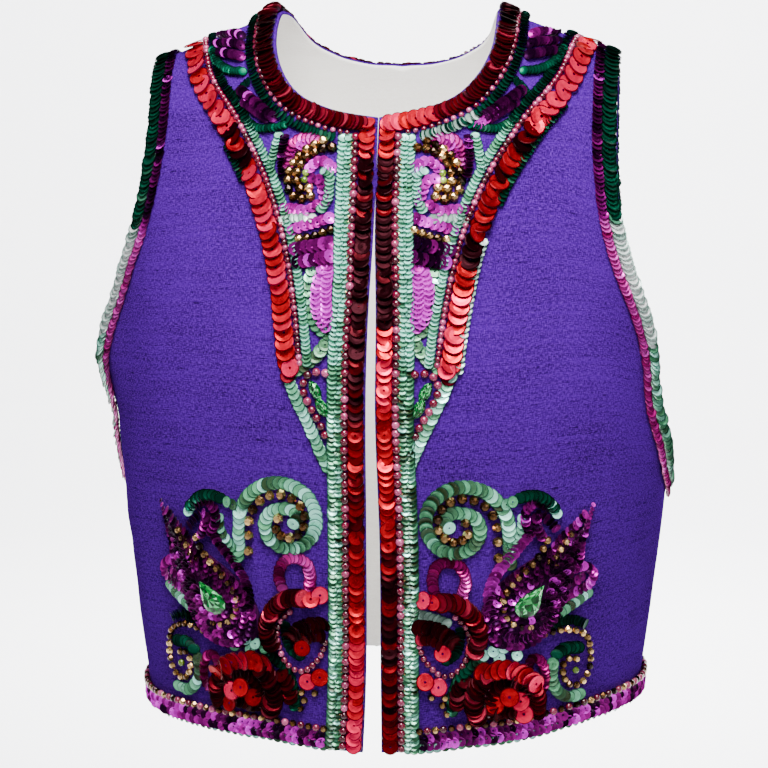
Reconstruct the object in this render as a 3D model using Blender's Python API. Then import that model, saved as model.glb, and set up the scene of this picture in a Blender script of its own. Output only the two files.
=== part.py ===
"""A sleeveless bolero of slubbed silk, cut like a waistcoat and shown as worn, with its
edge bands and raised motifs. Metres, +Z up, the fronts face -Y, and the origin is
at the middle of the shoulder line. Right and left are the wearer's."""

import bmesh
import bpy
import numpy as np

# Cloth and gaps
WALL = 0.0020
SEAM_GAP = 0.0003
TRIM_LIFT = 0.0006
EDGE_MARGIN = 0.0008

# Faces of the body, and the sides by the wearer's hand
FRONT, BACK = -1, 1
RIGHT, LEFT = -1, 1
SIDE_NAMES = {RIGHT: "right", LEFT: "left"}

# The shoulder line, which the fronts and the back meet on
NECK_HALF_WIDTH = 0.0678
NECK_ROUNDING = 0.045
SHOULDER_FALL = 0.420
SHOULDER_FORWARD = 0.018

# How far below the shoulder line each face reaches its full depth, and how bluntly
TOP_REACH = 0.240
TOP_BLUNTNESS = {FRONT: 1.6, BACK: 1.3}

# Rounds of the body: height, half width, depth in front, depth behind
SECTION_POWER = 2.3
HALF_WIDTH, FRONT_DEPTH, BACK_DEPTH = 1, 2, 3
SECTIONS = (
    (-0.4580, 0.1535, 0.1080, 0.0915),
    (-0.4365, 0.1560, 0.1095, 0.0930),
    (-0.3625, 0.1650, 0.1160, 0.0985),
    (-0.2895, 0.1725, 0.1210, 0.1055),
    (-0.2180, 0.1755, 0.1230, 0.1110),
    (-0.1470, 0.1750, 0.1200, 0.1140),
    (-0.0780, 0.1735, 0.1160, 0.1150),
    (0.0500, 0.1710, 0.1120, 0.1130),
)

# Where the armhole edge stands away from the body: side, height, spread above, spread
# below, distance
ARMHOLE_STAND = (
    (RIGHT, -0.205, 0.066, 0.048, 0.0100),
    (LEFT, -0.248, 0.036, 0.036, 0.0030),
)
STAND_STARTS, STAND_FULL = 0.66, 0.88

# Soft folds: face, turn, its spread, top, bottom, distance out
FOLDS = (
    (FRONT, -0.66, 0.15, -0.230, -0.440, 0.0030),
    (FRONT, -0.86, 0.11, -0.250, -0.380, -0.0025),
    (FRONT, 0.50, 0.16, -0.260, -0.450, 0.0025),
    (FRONT, 0.83, 0.12, -0.285, -0.400, -0.0030),
    (BACK, 0.34, 0.20, -0.210, -0.445, 0.0035),
    (BACK, -0.06, 0.18, -0.250, -0.450, -0.0035),
    (BACK, -0.46, 0.20, -0.225, -0.440, 0.0030),
    (BACK, 0.76, 0.16, -0.270, -0.430, -0.0025),
)

# Outlines. Hems: turn from the centre (0) to the side (1), height right and left
HEM = {
    FRONT: (
        (0.00, -0.4375, -0.4370),
        (0.08, -0.4365, -0.4360),
        (0.20, -0.4335, -0.4325),
        (0.35, -0.4325, -0.4295),
        (0.50, -0.4325, -0.4240),
        (0.70, -0.4335, -0.4215),
        (1.00, -0.4335, -0.4235),
    ),
    BACK: (
        (0.00, -0.4300, -0.4300),
        (0.50, -0.4310, -0.4275),
        (1.00, -0.4335, -0.4235),
    ),
}
UNDERARM = -0.2845

# Front edges: height, distance of the right and left one from the centre line
FRONT_EDGES = (
    (-0.4490, 0.0058, 0.0062),
    (-0.4060, 0.0031, 0.0062),
    (-0.3005, 0.0014, 0.0063),
    (-0.2385, 0.0014, 0.0043),
    (-0.1775, 0.0006, 0.0040),
    (-0.1275, -0.0012, 0.0020),
    (-0.0485, -0.0010, 0.0018),
)

# Necklines: distance from the centre line, height; each ends on the shoulder line, and the
# front one starts at the front edge
NECK_FOOT = {FRONT: -0.0643, BACK: -0.0300}
NECKLINE = {
    FRONT: (
        (0.0138, -0.0622),
        (0.0277, -0.0592),
        (0.0450, -0.0519),
        (0.0562, -0.0407),
        (0.0630, -0.0276),
        (0.0659, -0.0136),
    ),
    BACK: (
        (0.0220, -0.0285),
        (0.0430, -0.0225),
        (0.0580, -0.0115),
    ),
}
NECK_POINT = 0.0664

# Armholes: height, turn from the centre (0) to the side (1), right and left
SHOULDER_TIP_TURN = {RIGHT: 0.618, LEFT: 0.572}
ARMHOLE = {
    FRONT: (
        (-0.0445, 0.610, 0.560),
        (-0.0780, 0.602, 0.552),
        (-0.1115, 0.628, 0.562),
        (-0.1335, 0.668, 0.588),
        (-0.1525, 0.725, 0.625),
        (-0.1775, 0.790, 0.690),
        (-0.2025, 0.836, 0.738),
        (-0.2300, 0.868, 0.762),
        (-0.2545, 0.902, 0.830),
        (-0.2730, 0.948, 0.912),
    ),
    BACK: (
        (-0.0500, 0.612, 0.566),
        (-0.1000, 0.602, 0.562),
        (-0.1500, 0.625, 0.592),
        (-0.2000, 0.690, 0.665),
        (-0.2400, 0.780, 0.760),
        (-0.2690, 0.895, 0.880),
    ),
}

# Rows of the panels below and above the underarm, and columns of a half panel
LOW_ROWS, HIGH_ROWS, COLUMNS = 9, 21, 12
SHOULDER_EASING = 1.25

# Bands, as rows of sequins and beads: distance from the edge, height of the pile
FRONT_BAND = (
    (0.0000, 0.0012),
    (0.0080, 0.0020),
    (0.0116, 0.0030),
    (0.0138, 0.0018),
    (0.0210, 0.0014),
)
NECK_BAND = (
    (0.0000, 0.0014),
    (0.0100, 0.0022),
    (0.0128, 0.0032),
    (0.0150, 0.0018),
    (0.0190, 0.0014),
)
ARMHOLE_BAND = ((0.0000, 0.0012), (0.0060, 0.0022), (0.0125, 0.0014))
HEM_BAND = ((0.0000, 0.0012), (0.0095, 0.0020), (0.0120, 0.0032), (0.0148, 0.0028))
YOKE_BAND = (
    (-0.0055, 0.0016),
    (0.0050, 0.0026),
    (0.0078, 0.0032),
    (0.0100, 0.0018),
    (0.0150, 0.0014),
)
BAND_STEP, FINE_STEP = 0.014, 0.010
CORNER_GAP = 0.0010

# Middle of the yoke band's large sequins: distance from the centre line, height
YOKE_LINE = (
    (0.1115, -0.0407),
    (0.0882, -0.0725),
    (0.0706, -0.1025),
    (0.0580, -0.1363),
    (0.0507, -0.1724),
    (0.0466, -0.2058),
)
YOKE_AT_SHOULDER = 0.1221
YOKE_TAIL_LINE = ((0.0449, -0.2109), (0.0420, -0.2272), (0.0365, -0.2426), (0.0315, -0.2549))

# Motifs. Places are distance from the centre line, height
MOTIF_SHIFT, SHIFTED_BELOW = {RIGHT: 0.0, LEFT: 0.0030}, -0.260
SCROLL_CENTRE = (0.0485, -0.2970)
SCROLL_FOOT = (0.0780, -0.3215)
# The scroll's windings: degrees wound from its outer side, radius
SCROLL = (
    (-8, 0.0290),
    (90, 0.0230),
    (180, 0.0182),
    (270, 0.0158),
    (360, 0.0122),
    (430, 0.0078),
)
SCROLL_HALF_WIDTH = 0.0040
RING_CENTRE, RING_RADIUS, RING_HALF_WIDTH = (0.0436, -0.3325), 0.0084, 0.0034
ROSETTE_CENTRE, ROSETTE_RADIUS, ROSETTE_HALF_WIDTH = (0.0443, -0.3645), 0.0124, 0.0053
FLOWER_CENTRE, FLOWER_RADIUS = (0.0724, -0.3955), 0.0165
FLOWER_PETALS = 5
PAISLEY_CENTRE, PAISLEY_LENGTH, PAISLEY_WIDTH = (0.0985, -0.3395), 0.0860, 0.0410
PAISLEY_LEAN = 0.62
STONE_CENTRE, STONE_LENGTH, STONE_WIDTH = (0.0950, -0.3478), 0.0225, 0.0135
SIDE_CURL = (
    (0.1041, -0.3732),
    (0.1164, -0.3710),
    (0.1263, -0.3764),
    (0.1296, -0.3891),
    (0.1257, -0.4009),
    (0.1159, -0.4020),
)
SIDE_CURL_HALF_WIDTH = 0.0024
BIB_CURL = (
    (0.0283, -0.0848),
    (0.0387, -0.0857),
    (0.0462, -0.0936),
    (0.0462, -0.1030),
    (0.0398, -0.1094),
    (0.0328, -0.1060),
)
BIB_CURL_HALF_WIDTH = 0.0036
# Bars of the bib: start, end, half width
BIB_BARS = (
    ((0.0275, -0.1234), (0.0439, -0.1293), 0.0034),
    ((0.0285, -0.1393), (0.0385, -0.1423), 0.0044),
)
LEAF_CENTRE, LEAF_LENGTH, LEAF_WIDTH = (0.0313, -0.1613), 0.0200, 0.0080
DROP_CENTRE, DROP_LENGTH, DROP_WIDTH, DROP_LEAN = (0.0328, -0.2201), 0.0235, 0.0100, 3.3
PAD_SIDES, PAD_RINGS = 20, (1.0, 0.62, 0.28)

SLOPE_STEP = 0.0008
SEAM_NEAR = 1e-6
COLOURS = {
    "silk": (0.090, 0.045, 0.330),
    "red": (0.620, 0.012, 0.022),
    "maroon": (0.110, 0.004, 0.010),
    "mint": (0.420, 0.700, 0.560),
    "green": (0.010, 0.110, 0.065),
    "magenta": (0.480, 0.030, 0.340),
    "bronze": (0.330, 0.180, 0.075),
    "crystal": (0.080, 0.500, 0.180),
}


# The body's form

def read_smooth(table, place, index):
    """A table's column at a place between its rows, on a smooth curve through them."""
    rows = np.array(table)
    places, values = rows[:, 0], rows[:, index]
    slopes = np.gradient(values, places)
    place = np.clip(place, places[0], places[-1])
    low = np.clip(np.searchsorted(places, place, side="right") - 1, 0, len(places) - 2)
    span = places[low + 1] - places[low]
    s = (place - places[low]) / span
    return (
        (2 * s**3 - 3 * s**2 + 1) * values[low]
        + (s**3 - 2 * s**2 + s) * span * slopes[low]
        + (3 * s**2 - 2 * s**3) * values[low + 1]
        + (s**3 - s**2) * span * slopes[low + 1]
    )


def signed_power(value, power):
    return np.sign(value) * np.abs(value) ** power


def ease(value):
    """A soft step from 0 to 1."""
    value = np.clip(value, 0.0, 1.0)
    return value * value * (3 - 2 * value)


def bell(value, middle, spread):
    """A soft hump of height 1 at its middle, and 0 past its spread."""
    return 0.5 + 0.5 * np.cos(np.pi * np.clip((value - middle) / spread, -1.0, 1.0))


def shoulder_height(across):
    """The height of the shoulder line, which is round over the neck's opening."""
    rounded = np.sqrt(across**2 + NECK_ROUNDING**2)
    return -SHOULDER_FALL * (rounded - np.hypot(NECK_HALF_WIDTH, NECK_ROUNDING))


def stand_away(face, turn, height):
    """How far the cloth stands out of the body's form, in its folds and at the armholes."""
    out = np.zeros_like(turn * height)
    for side, middle, above, below, distance in ARMHOLE_STAND:
        ramp = ease((side * turn - STAND_STARTS) / (STAND_FULL - STAND_STARTS))
        spread = np.where(height > middle, above, below)
        out = out + distance * ramp * bell(height, middle, spread)
    for fold_face, middle, spread, top, bottom, distance in FOLDS:
        if fold_face == face:
            length = bell(height, (top + bottom) / 2, (top - bottom) / 2)
            out = out + distance * bell(turn, middle, spread) * length
    return out


def form(face, turn, drop):
    """Points of the cloth's outside. turn runs from -1 at the right side through 0 at the
    centre line to 1 at the left side, and drop from 0 on the shoulder line down."""
    turn, drop = np.broadcast_arrays(np.asarray(turn, float), np.asarray(drop, float))
    sideways = signed_power(np.sin(turn * np.pi / 2), 2 / SECTION_POWER)
    forwards = signed_power(np.cos(turn * np.pi / 2), 2 / SECTION_POWER)
    across = read_smooth(SECTIONS, SECTIONS[-1][0], HALF_WIDTH) * sideways
    for _ in range(3):
        height = shoulder_height(across) - TOP_REACH * drop**2
        across = read_smooth(SECTIONS, height, HALF_WIDTH) * sideways
    height = shoulder_height(across) - TOP_REACH * drop**2
    fullness = np.sqrt(1 - (1 - np.minimum(drop**2, 1.0)) ** TOP_BLUNTNESS[face])
    depth = read_smooth(SECTIONS, height, FRONT_DEPTH if face == FRONT else BACK_DEPTH)
    reach = (face * depth * forwards + SHOULDER_FORWARD) * np.sign(drop) * fullness
    out = stand_away(face, turn, height)
    return np.stack(
        [
            across + out * np.sin(turn * np.pi / 2),
            reach - SHOULDER_FORWARD + face * (out * np.cos(turn * np.pi / 2) + SEAM_GAP / 2),
            height,
        ],
        axis=-1,
    )


def slopes(face, turn, drop):
    """How a point of the cloth moves with turn and with drop."""
    by_turn = form(face, turn + SLOPE_STEP, drop) - form(face, turn - SLOPE_STEP, drop)
    by_drop = form(face, turn, drop + SLOPE_STEP) - form(face, turn, drop - SLOPE_STEP)
    return by_turn / (2 * SLOPE_STEP), by_drop / (2 * SLOPE_STEP)


def unit(vectors):
    return vectors / np.linalg.norm(vectors, axis=-1, keepdims=True)


def outward(face, turn, drop):
    """The cloth's outward direction."""
    by_turn, by_drop = slopes(face, turn, drop)
    return unit(face * np.cross(by_turn, by_drop))


def drop_at(across, height):
    return np.sqrt(np.maximum(shoulder_height(across) - height, 0.0) / TOP_REACH)


def at_turn(turn, height):
    """Turn and drop of a point given by its turn and height."""
    width = read_smooth(SECTIONS, height, HALF_WIDTH)
    across = width * signed_power(np.sin(turn * np.pi / 2), 2 / SECTION_POWER)
    return np.stack([turn, drop_at(across, height)], axis=-1)


def at_distance(across, height):
    """Turn and drop of a point given by its distance from the centre line and its height."""
    share = np.clip(np.abs(across) / read_smooth(SECTIONS, height, HALF_WIDTH), 0.0, 1.0)
    turn = np.sign(across) * np.arcsin(share ** (SECTION_POWER / 2)) * 2 / np.pi
    return np.stack([turn, drop_at(across, height)], axis=-1)


# Routes along the cloth: arrays with a row of turn and drop for each point

def smooth_route(route, steps=12):
    """A route with smooth bends through the given points."""
    route = np.asarray(route)
    ends = np.vstack([2 * route[0] - route[1], route, 2 * route[-1] - route[-2]])
    s = np.linspace(0, 1, steps, endpoint=False)[:, None]
    bends = []
    for a, b, c, d in zip(ends, ends[1:], ends[2:], ends[3:]):
        turning = 2 * a - 5 * b + 4 * c - d
        twisting = 3 * b - a - 3 * c + d
        bends.append(0.5 * (2 * b + (c - a) * s + turning * s**2 + twisting * s**3))
    return np.vstack(bends + [route[-1:]])


def respaced(face, route, count=None, step=None, easing=1.0):
    """The same route in even steps along the cloth, or closer ones toward its end."""
    points = form(face, route[:, 0], route[:, 1])
    lengths = np.concatenate([[0], np.cumsum(np.linalg.norm(np.diff(points, axis=0), axis=1))])
    count = count or max(2, int(np.ceil(lengths[-1] / step)))
    shares = 1 - (1 - np.linspace(0, 1, count + 1)) ** easing
    wanted = shares * lengths[-1]
    return np.stack([np.interp(wanted, lengths, route[:, k]) for k in (0, 1)], axis=-1)


def walk(face, route, direction, distance, steps=3):
    """Each point of a route moved over the cloth by a distance in a direction."""
    turn, drop = route[:, 0], route[:, 1]
    for _ in range(steps):
        by_turn, by_drop = slopes(face, turn, drop)
        tt = (by_turn * by_turn).sum(-1)
        td = (by_turn * by_drop).sum(-1)
        dd = (by_drop * by_drop).sum(-1)
        t = (direction * by_turn).sum(-1) * distance / steps
        d = (direction * by_drop).sum(-1) * distance / steps
        whole = tt * dd - td * td
        turn = turn + (t * dd - d * td) / whole
        drop = drop + (d * tt - t * td) / whole
    return np.stack([turn, drop], axis=-1)


def beside(face, side, route, closed=False):
    """The direction over the cloth, square to a route, or along the seam where it ends on
    one. It points away from the centre line where the route goes up."""
    points = form(face, route[:, 0], route[:, 1])
    if closed:
        along = np.roll(points, -1, axis=0) - np.roll(points, 1, axis=0)
    else:
        along = np.gradient(points, axis=0)
    direction = side * face * np.cross(outward(face, route[:, 0], route[:, 1]), unit(along))
    by_turn, by_drop = slopes(face, route[:, 0], route[:, 1])
    at_side, at_shoulder = 1 - np.abs(route[:, 0]) < SEAM_NEAR, route[:, 1] < SEAM_NEAR
    for on_seam, seam in ((at_side, by_drop), (at_shoulder, by_turn)):
        sign = np.sign((direction * seam).sum(-1, keepdims=True))
        direction = np.where(on_seam[:, None], sign * seam, direction)
    return unit(direction)


def mirrored(places, side):
    """Turn and drop of places given for either side, on one side's front."""
    places = np.asarray(places)
    return at_distance(side * places[:, 0], places[:, 1])


def shifted(places, side):
    """A lower motif's places, moved to clear its own side's front edge."""
    places = np.asarray(places)
    low = places[:, 1].mean() < SHIFTED_BELOW
    return places + (MOTIF_SHIFT[side] if low else 0.0, 0.0)


def front_edge_distance(side, height):
    return read_smooth(FRONT_EDGES, height, 1 if side == RIGHT else 2)


def hem_height(face, side, share):
    """The hem's height at a share of the turn from the centre to the side seam."""
    return read_smooth(HEM[face], share, 1 if side == RIGHT else 2)


def hem_height_from_edge(side, distance):
    """The front hem's height at a distance in from the front edge."""
    height = HEM[FRONT][0][1]
    across = front_edge_distance(side, height) + distance
    return float(hem_height(FRONT, side, at_distance(across, height)[0]))


def front_edge(side, low, high):
    height = np.linspace(low, high, 40)
    return at_distance(side * front_edge_distance(side, height), height)


def neckline(face, side):
    foot = NECK_FOOT[face]
    start = float(front_edge_distance(side, foot)) if face == FRONT else 0.0
    end = (NECK_POINT, float(shoulder_height(NECK_POINT)))
    return smooth_route(mirrored(((start, foot),) + NECKLINE[face] + (end,), side))


def armhole(face, side):
    """From the side seam up to the shoulder line."""
    rows = np.array(ARMHOLE[face])
    turn = side * rows[:, 1 if side == RIGHT else 2]
    points = at_turn(turn, rows[:, 0])[::-1]
    first = at_turn(np.array([side * 1.0]), np.array([UNDERARM]))
    last = np.array([[side * SHOULDER_TIP_TURN[side], 0.0]])
    return smooth_route(np.vstack([first, points, last]))


def side_seam(side):
    height = np.linspace(hem_height(FRONT, side, 1.0), UNDERARM, 30)
    return at_turn(np.full_like(height, side * 1.0), height)


def hem(face, side, start=0.0):
    """From near the centre line to the side seam."""
    share = np.linspace(start, 1.0, 60)
    return at_turn(side * share, hem_height(face, side, share))


# Solids

def material(name, roughness, metallic):
    """A Principled material with the named colour."""
    made = bpy.data.materials.new(name)
    made.use_nodes = True
    shader = made.node_tree.nodes["Principled BSDF"]
    shader.inputs["Base Color"].default_value = (*COLOURS[name.split(".")[0]], 1.0)
    shader.inputs["Roughness"].default_value = roughness
    shader.inputs["Metallic"].default_value = metallic
    return made


def add_solid(name, points, faces, colour, sharp=40.0):
    """A closed body as one named object with its own material."""
    mesh = bpy.data.meshes.new(name)
    mesh.from_pydata([tuple(map(float, p)) for p in points], [], faces)
    work = bmesh.new()
    work.from_mesh(mesh)
    bmesh.ops.recalc_face_normals(work, faces=work.faces)
    work.to_mesh(mesh)
    work.free()
    mesh.shade_smooth()
    mesh.set_sharp_from_angle(angle=np.radians(sharp))
    cloth = colour == "silk"
    mesh.materials.append(material(f"{colour}.{name}", 0.65 if cloth else 0.25, 0.0 if cloth else 0.3))
    made = bpy.data.objects.new(name, mesh)
    parts.objects.link(made)
    return made


def half_panel(face, side):
    """Turn and drop of a half panel's grid, row by row from the hem to the shoulder, each
    row from the inner outline to the side seam or armhole, and the row of the neck."""
    collar = neckline(face, side)
    if face == FRONT:
        centre = front_edge(side, hem_height_from_edge(side, 0.0), NECK_FOOT[face])
    else:
        height = np.linspace(HEM[face][0][1], NECK_FOOT[face], 40)
        centre = at_turn(np.zeros_like(height), height)
    rows = LOW_ROWS + HIGH_ROWS
    neck_rows = 7
    inner = np.vstack(
        [
            respaced(face, centre, count=rows - neck_rows)[:-1],
            respaced(face, collar, count=neck_rows, easing=1.15),
        ]
    )
    outer = np.vstack(
        [
            respaced(face, side_seam(side), count=LOW_ROWS)[:-1],
            respaced(face, armhole(face, side), count=HIGH_ROWS, easing=SHOULDER_EASING),
        ]
    )
    start = form(face, inner[:, 0], inner[:, 1])
    end = form(face, outer[:, 0], outer[:, 1])
    share = np.linspace(0, 1, COLUMNS + 1)

    def straight_row(row):
        turn = inner[row, 0] + (outer[row, 0] - inner[row, 0]) * share
        width = read_smooth(SECTIONS, end[row, 2], HALF_WIDTH)
        across = width * signed_power(np.sin(turn * np.pi / 2), 2 / SECTION_POWER)
        along = (across - across[0]) / (across[-1] - across[0])
        return turn, across, start[row, 2] + (end[row, 2] - start[row, 2]) * along

    turn, across, height = straight_row(0)
    hem_bow = hem_height(face, side, np.abs(turn)) - height
    turn, across, height = straight_row(rows)
    shoulder_bow = shoulder_height(across) - height
    grid = []
    for row in range(rows + 1):
        turn, across, height = straight_row(row)
        height = height + hem_bow * max(0.0, 1 - row / LOW_ROWS)
        height = height + shoulder_bow * max(0.0, 1 - (rows - row) / neck_rows)
        drop = drop_at(across, height)
        drop[0], drop[-1] = inner[row, 1], outer[row, 1]
        grid.append(np.stack([turn, drop], axis=-1))
    return np.array(grid), rows - neck_rows


def panel(name, face, sides):
    """A wall of cloth over one half panel, or over two that share the centre line."""
    outside, directions, quads = [], [], []
    first = None
    for side in sides:
        grid, neck_row = half_panel(face, side)
        points = form(face, grid[..., 0], grid[..., 1])
        normals = outward(face, grid[..., 0], grid[..., 1])
        corners = np.empty(grid.shape[:2], int)
        for row, at in np.ndindex(corners.shape):
            if first is not None and at == 0 and row <= neck_row:
                corners[row, at] = first[row, at]
                continue
            corners[row, at] = len(outside)
            outside.append(points[row, at])
            directions.append(normals[row, at])
        first = corners
        for row, at in np.ndindex(corners.shape[0] - 1, corners.shape[1] - 1):
            low, high = corners[row], corners[row + 1]
            quad = [int(c) for c in (low[at], low[at + 1], high[at + 1], high[at])]
            quads.append(quad if side * face < 0 else quad[::-1])
    return walled(name, np.array(outside), np.array(directions), quads)


def walled(name, outside, directions, quads):
    """A wall between an outer sheet and its copy inside, closed along the sheet's edges."""
    count = len(outside)
    inside = outside - WALL * directions
    edges = {}
    for quad in quads:
        for a, b in zip(quad, quad[1:] + quad[:1]):
            edges[(a, b)] = True
    rim = [(b, a, a + count, b + count) for a, b in edges if (b, a) not in edges]
    inner = [tuple(corner + count for corner in quad[::-1]) for quad in quads]
    faces = [tuple(quad) for quad in quads] + inner + rim
    return add_solid(name, np.vstack([outside, inside]), faces, "silk", 60.0)


def ribbon(name, face, side, route, profile, colour, closed=False, base=TRIM_LIFT):
    """A raised strip along a route. The profile gives distances to the side and heights."""
    direction = beside(face, side, route, closed)
    rings = []
    for distance, height in profile:
        moved = walk(face, route, direction, distance)
        points = form(face, moved[:, 0], moved[:, 1])
        normals = outward(face, moved[:, 0], moved[:, 1])
        rings.append((points + base * normals, points + (base + height) * normals))
    low = np.array([ring[0] for ring in rings])
    high = np.array([ring[1] for ring in rings])
    wide, long = low.shape[0], low.shape[1]
    loop = np.concatenate([low, high[::-1]]).transpose(1, 0, 2)
    around = 2 * wide
    faces = []
    for station in range(long if closed else long - 1):
        here, there = station * around, (station + 1) % long * around
        for k in range(around):
            n = (k + 1) % around
            faces.append((here + k, here + n, there + n, there + k))
    if not closed:
        for station, order in ((0, 1), (long - 1, -1)):
            for k in range(wide - 1):
                cap = (k, k + 1, around - 2 - k, around - 1 - k)
                faces.append(tuple(station * around + corner for corner in cap[::order]))
    return add_solid(name, loop.reshape(-1, 3), faces, colour)


def pad(name, side, outline, height, colour, base=TRIM_LIFT):
    """A low dome over an outline given by distances from the centre line and heights."""
    outline = np.asarray(outline)
    centre = outline.mean(axis=0)
    low, high = [], []
    for share in PAD_RINGS + (0.0,):
        places = centre + (outline - centre) * share if share else centre[None, :]
        spots = mirrored(shifted(places, side), side)
        points = form(FRONT, spots[:, 0], spots[:, 1])
        normals = outward(FRONT, spots[:, 0], spots[:, 1])
        rise = height * (0.45 + 0.55 * (1 - share**2))
        low.append(points + base * normals)
        high.append(points + (base + rise) * normals)
    points = np.vstack(low + high)
    count, rings = len(outline), len(PAD_RINGS)
    layer = count * rings + 1
    faces = []
    for start, flip in ((0, 1), (layer, -1)):
        for k in range(count):
            n = (k + 1) % count
            for ring in range(rings - 1):
                a, b = start + ring * count, start + (ring + 1) * count
                faces.append((a + k, a + n, b + n, b + k)[::flip])
            last = start + (rings - 1) * count
            faces.append((last + k, last + n, start + layer - 1)[::flip])
    for k in range(count):
        n = (k + 1) % count
        faces.append((n, k, k + layer, n + layer))
    return add_solid(name, points, faces, colour)


# Outlines of the motifs

def circle(centre, radius, count):
    angle = np.linspace(0, 2 * np.pi, count, endpoint=False)
    return np.stack([centre[0] + radius * np.cos(angle), centre[1] + radius * np.sin(angle)], axis=-1)


def drop_outline(centre, length, width, lean, count=PAD_SIDES):
    """A drop whose tip leans outward from upright by an angle."""
    angle = np.linspace(0, 2 * np.pi, count, endpoint=False)
    along = np.cos(angle) * length / 2
    across = np.sin(angle) * (0.5 - 0.5 * np.cos(angle)) ** 0.75 * width / 1.42
    return np.stack(
        [
            centre[0] + along * np.sin(lean) + across * np.cos(lean),
            centre[1] + along * np.cos(lean) - across * np.sin(lean),
        ],
        axis=-1,
    )


def flower_outline(centre, radius, petals, count):
    angle = np.linspace(0, 2 * np.pi, count, endpoint=False)
    reach = radius * (0.80 + 0.20 * np.abs(np.cos(petals * angle / 2)) ** 0.6)
    return np.stack([centre[0] + reach * np.cos(angle), centre[1] + reach * np.sin(angle)], axis=-1)


def scroll_places():
    """From the scroll's foot up and round, winding in to its eye."""
    wound = np.linspace(SCROLL[0][0], SCROLL[-1][0], 40)
    reach = read_smooth(SCROLL, wound, 1)
    bend = np.radians(wound)
    winding = np.stack([reach * np.cos(bend), reach * np.sin(bend)], axis=-1) + SCROLL_CENTRE
    return np.vstack([[SCROLL_FOOT], winding])


def strip(half_width, height):
    """The profile of a rounded strip."""
    return ((-half_width, 0.6 * height), (0.0, height), (half_width, 0.6 * height))


# Pieces

def build_panels():
    panel("front_right", FRONT, (RIGHT,))
    panel("front_left", FRONT, (LEFT,))
    panel("back", BACK, (RIGHT, LEFT))


def inset(profile, way=1):
    """A band's profile, kept just inside the edge that it follows."""
    return tuple((way * max(distance, EDGE_MARGIN), height) for distance, height in profile)


def build_edge_bands(side):
    hand = SIDE_NAMES[side]
    top = NECK_FOOT[FRONT] - NECK_BAND[-1][0] - CORNER_GAP
    foot = hem_height_from_edge(side, FRONT_BAND[-1][0]) + EDGE_MARGIN
    edge = respaced(FRONT, front_edge(side, foot, top), step=BAND_STEP)
    ribbon(f"front_band_{hand}", FRONT, side, edge, inset(FRONT_BAND), "red")

    collar = respaced(FRONT, neckline(FRONT, side), step=BAND_STEP * 0.7, easing=SHOULDER_EASING)
    ribbon(f"neck_band_{hand}", FRONT, side, collar, inset(NECK_BAND), "maroon")

    for face, where in ((FRONT, "front"), (BACK, "back")):
        scye = respaced(face, armhole(face, side), step=FINE_STEP, easing=SHOULDER_EASING)
        ribbon(f"armhole_band_{where}_{hand}", face, side, scye, inset(ARMHOLE_BAND, -1), "green")

    clear = front_edge_distance(side, foot) + FRONT_BAND[-1][0] + CORNER_GAP
    start = float(at_distance(clear, foot)[0])
    turn_up = respaced(FRONT, hem(FRONT, side, start), step=BAND_STEP)
    ribbon(f"hem_band_{hand}", FRONT, side, turn_up, inset(HEM_BAND, -1), "magenta")


def build_back_bands():
    halves = [neckline(BACK, RIGHT)[::-1], neckline(BACK, LEFT)[1:]]
    collar = respaced(BACK, np.vstack(halves), count=22)
    ribbon("neck_band_back", BACK, LEFT, collar, inset(NECK_BAND), "maroon")
    halves = [hem(BACK, RIGHT)[::-1], hem(BACK, LEFT)[1:]]
    turn_up = respaced(BACK, np.vstack(halves), step=BAND_STEP)
    ribbon("hem_band_back", BACK, LEFT, turn_up, inset(HEM_BAND, -1), "magenta")


def build_yoke(side):
    hand = SIDE_NAMES[side]
    shoulder = mirrored([(YOKE_AT_SHOULDER, float(shoulder_height(YOKE_AT_SHOULDER)))], side)
    line = smooth_route(np.vstack([mirrored(YOKE_LINE[::-1], side), shoulder]))
    line = respaced(FRONT, line, step=FINE_STEP, easing=SHOULDER_EASING)
    band = [(-distance, height) for distance, height in YOKE_BAND]
    ribbon(f"yoke_band_{hand}", FRONT, side, line, band, "red")
    tail = respaced(FRONT, smooth_route(mirrored(YOKE_TAIL_LINE, side)), step=BAND_STEP)
    ribbon(f"yoke_tail_{hand}", FRONT, side, tail, strip(0.0026, 0.0016), "mint")


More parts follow.
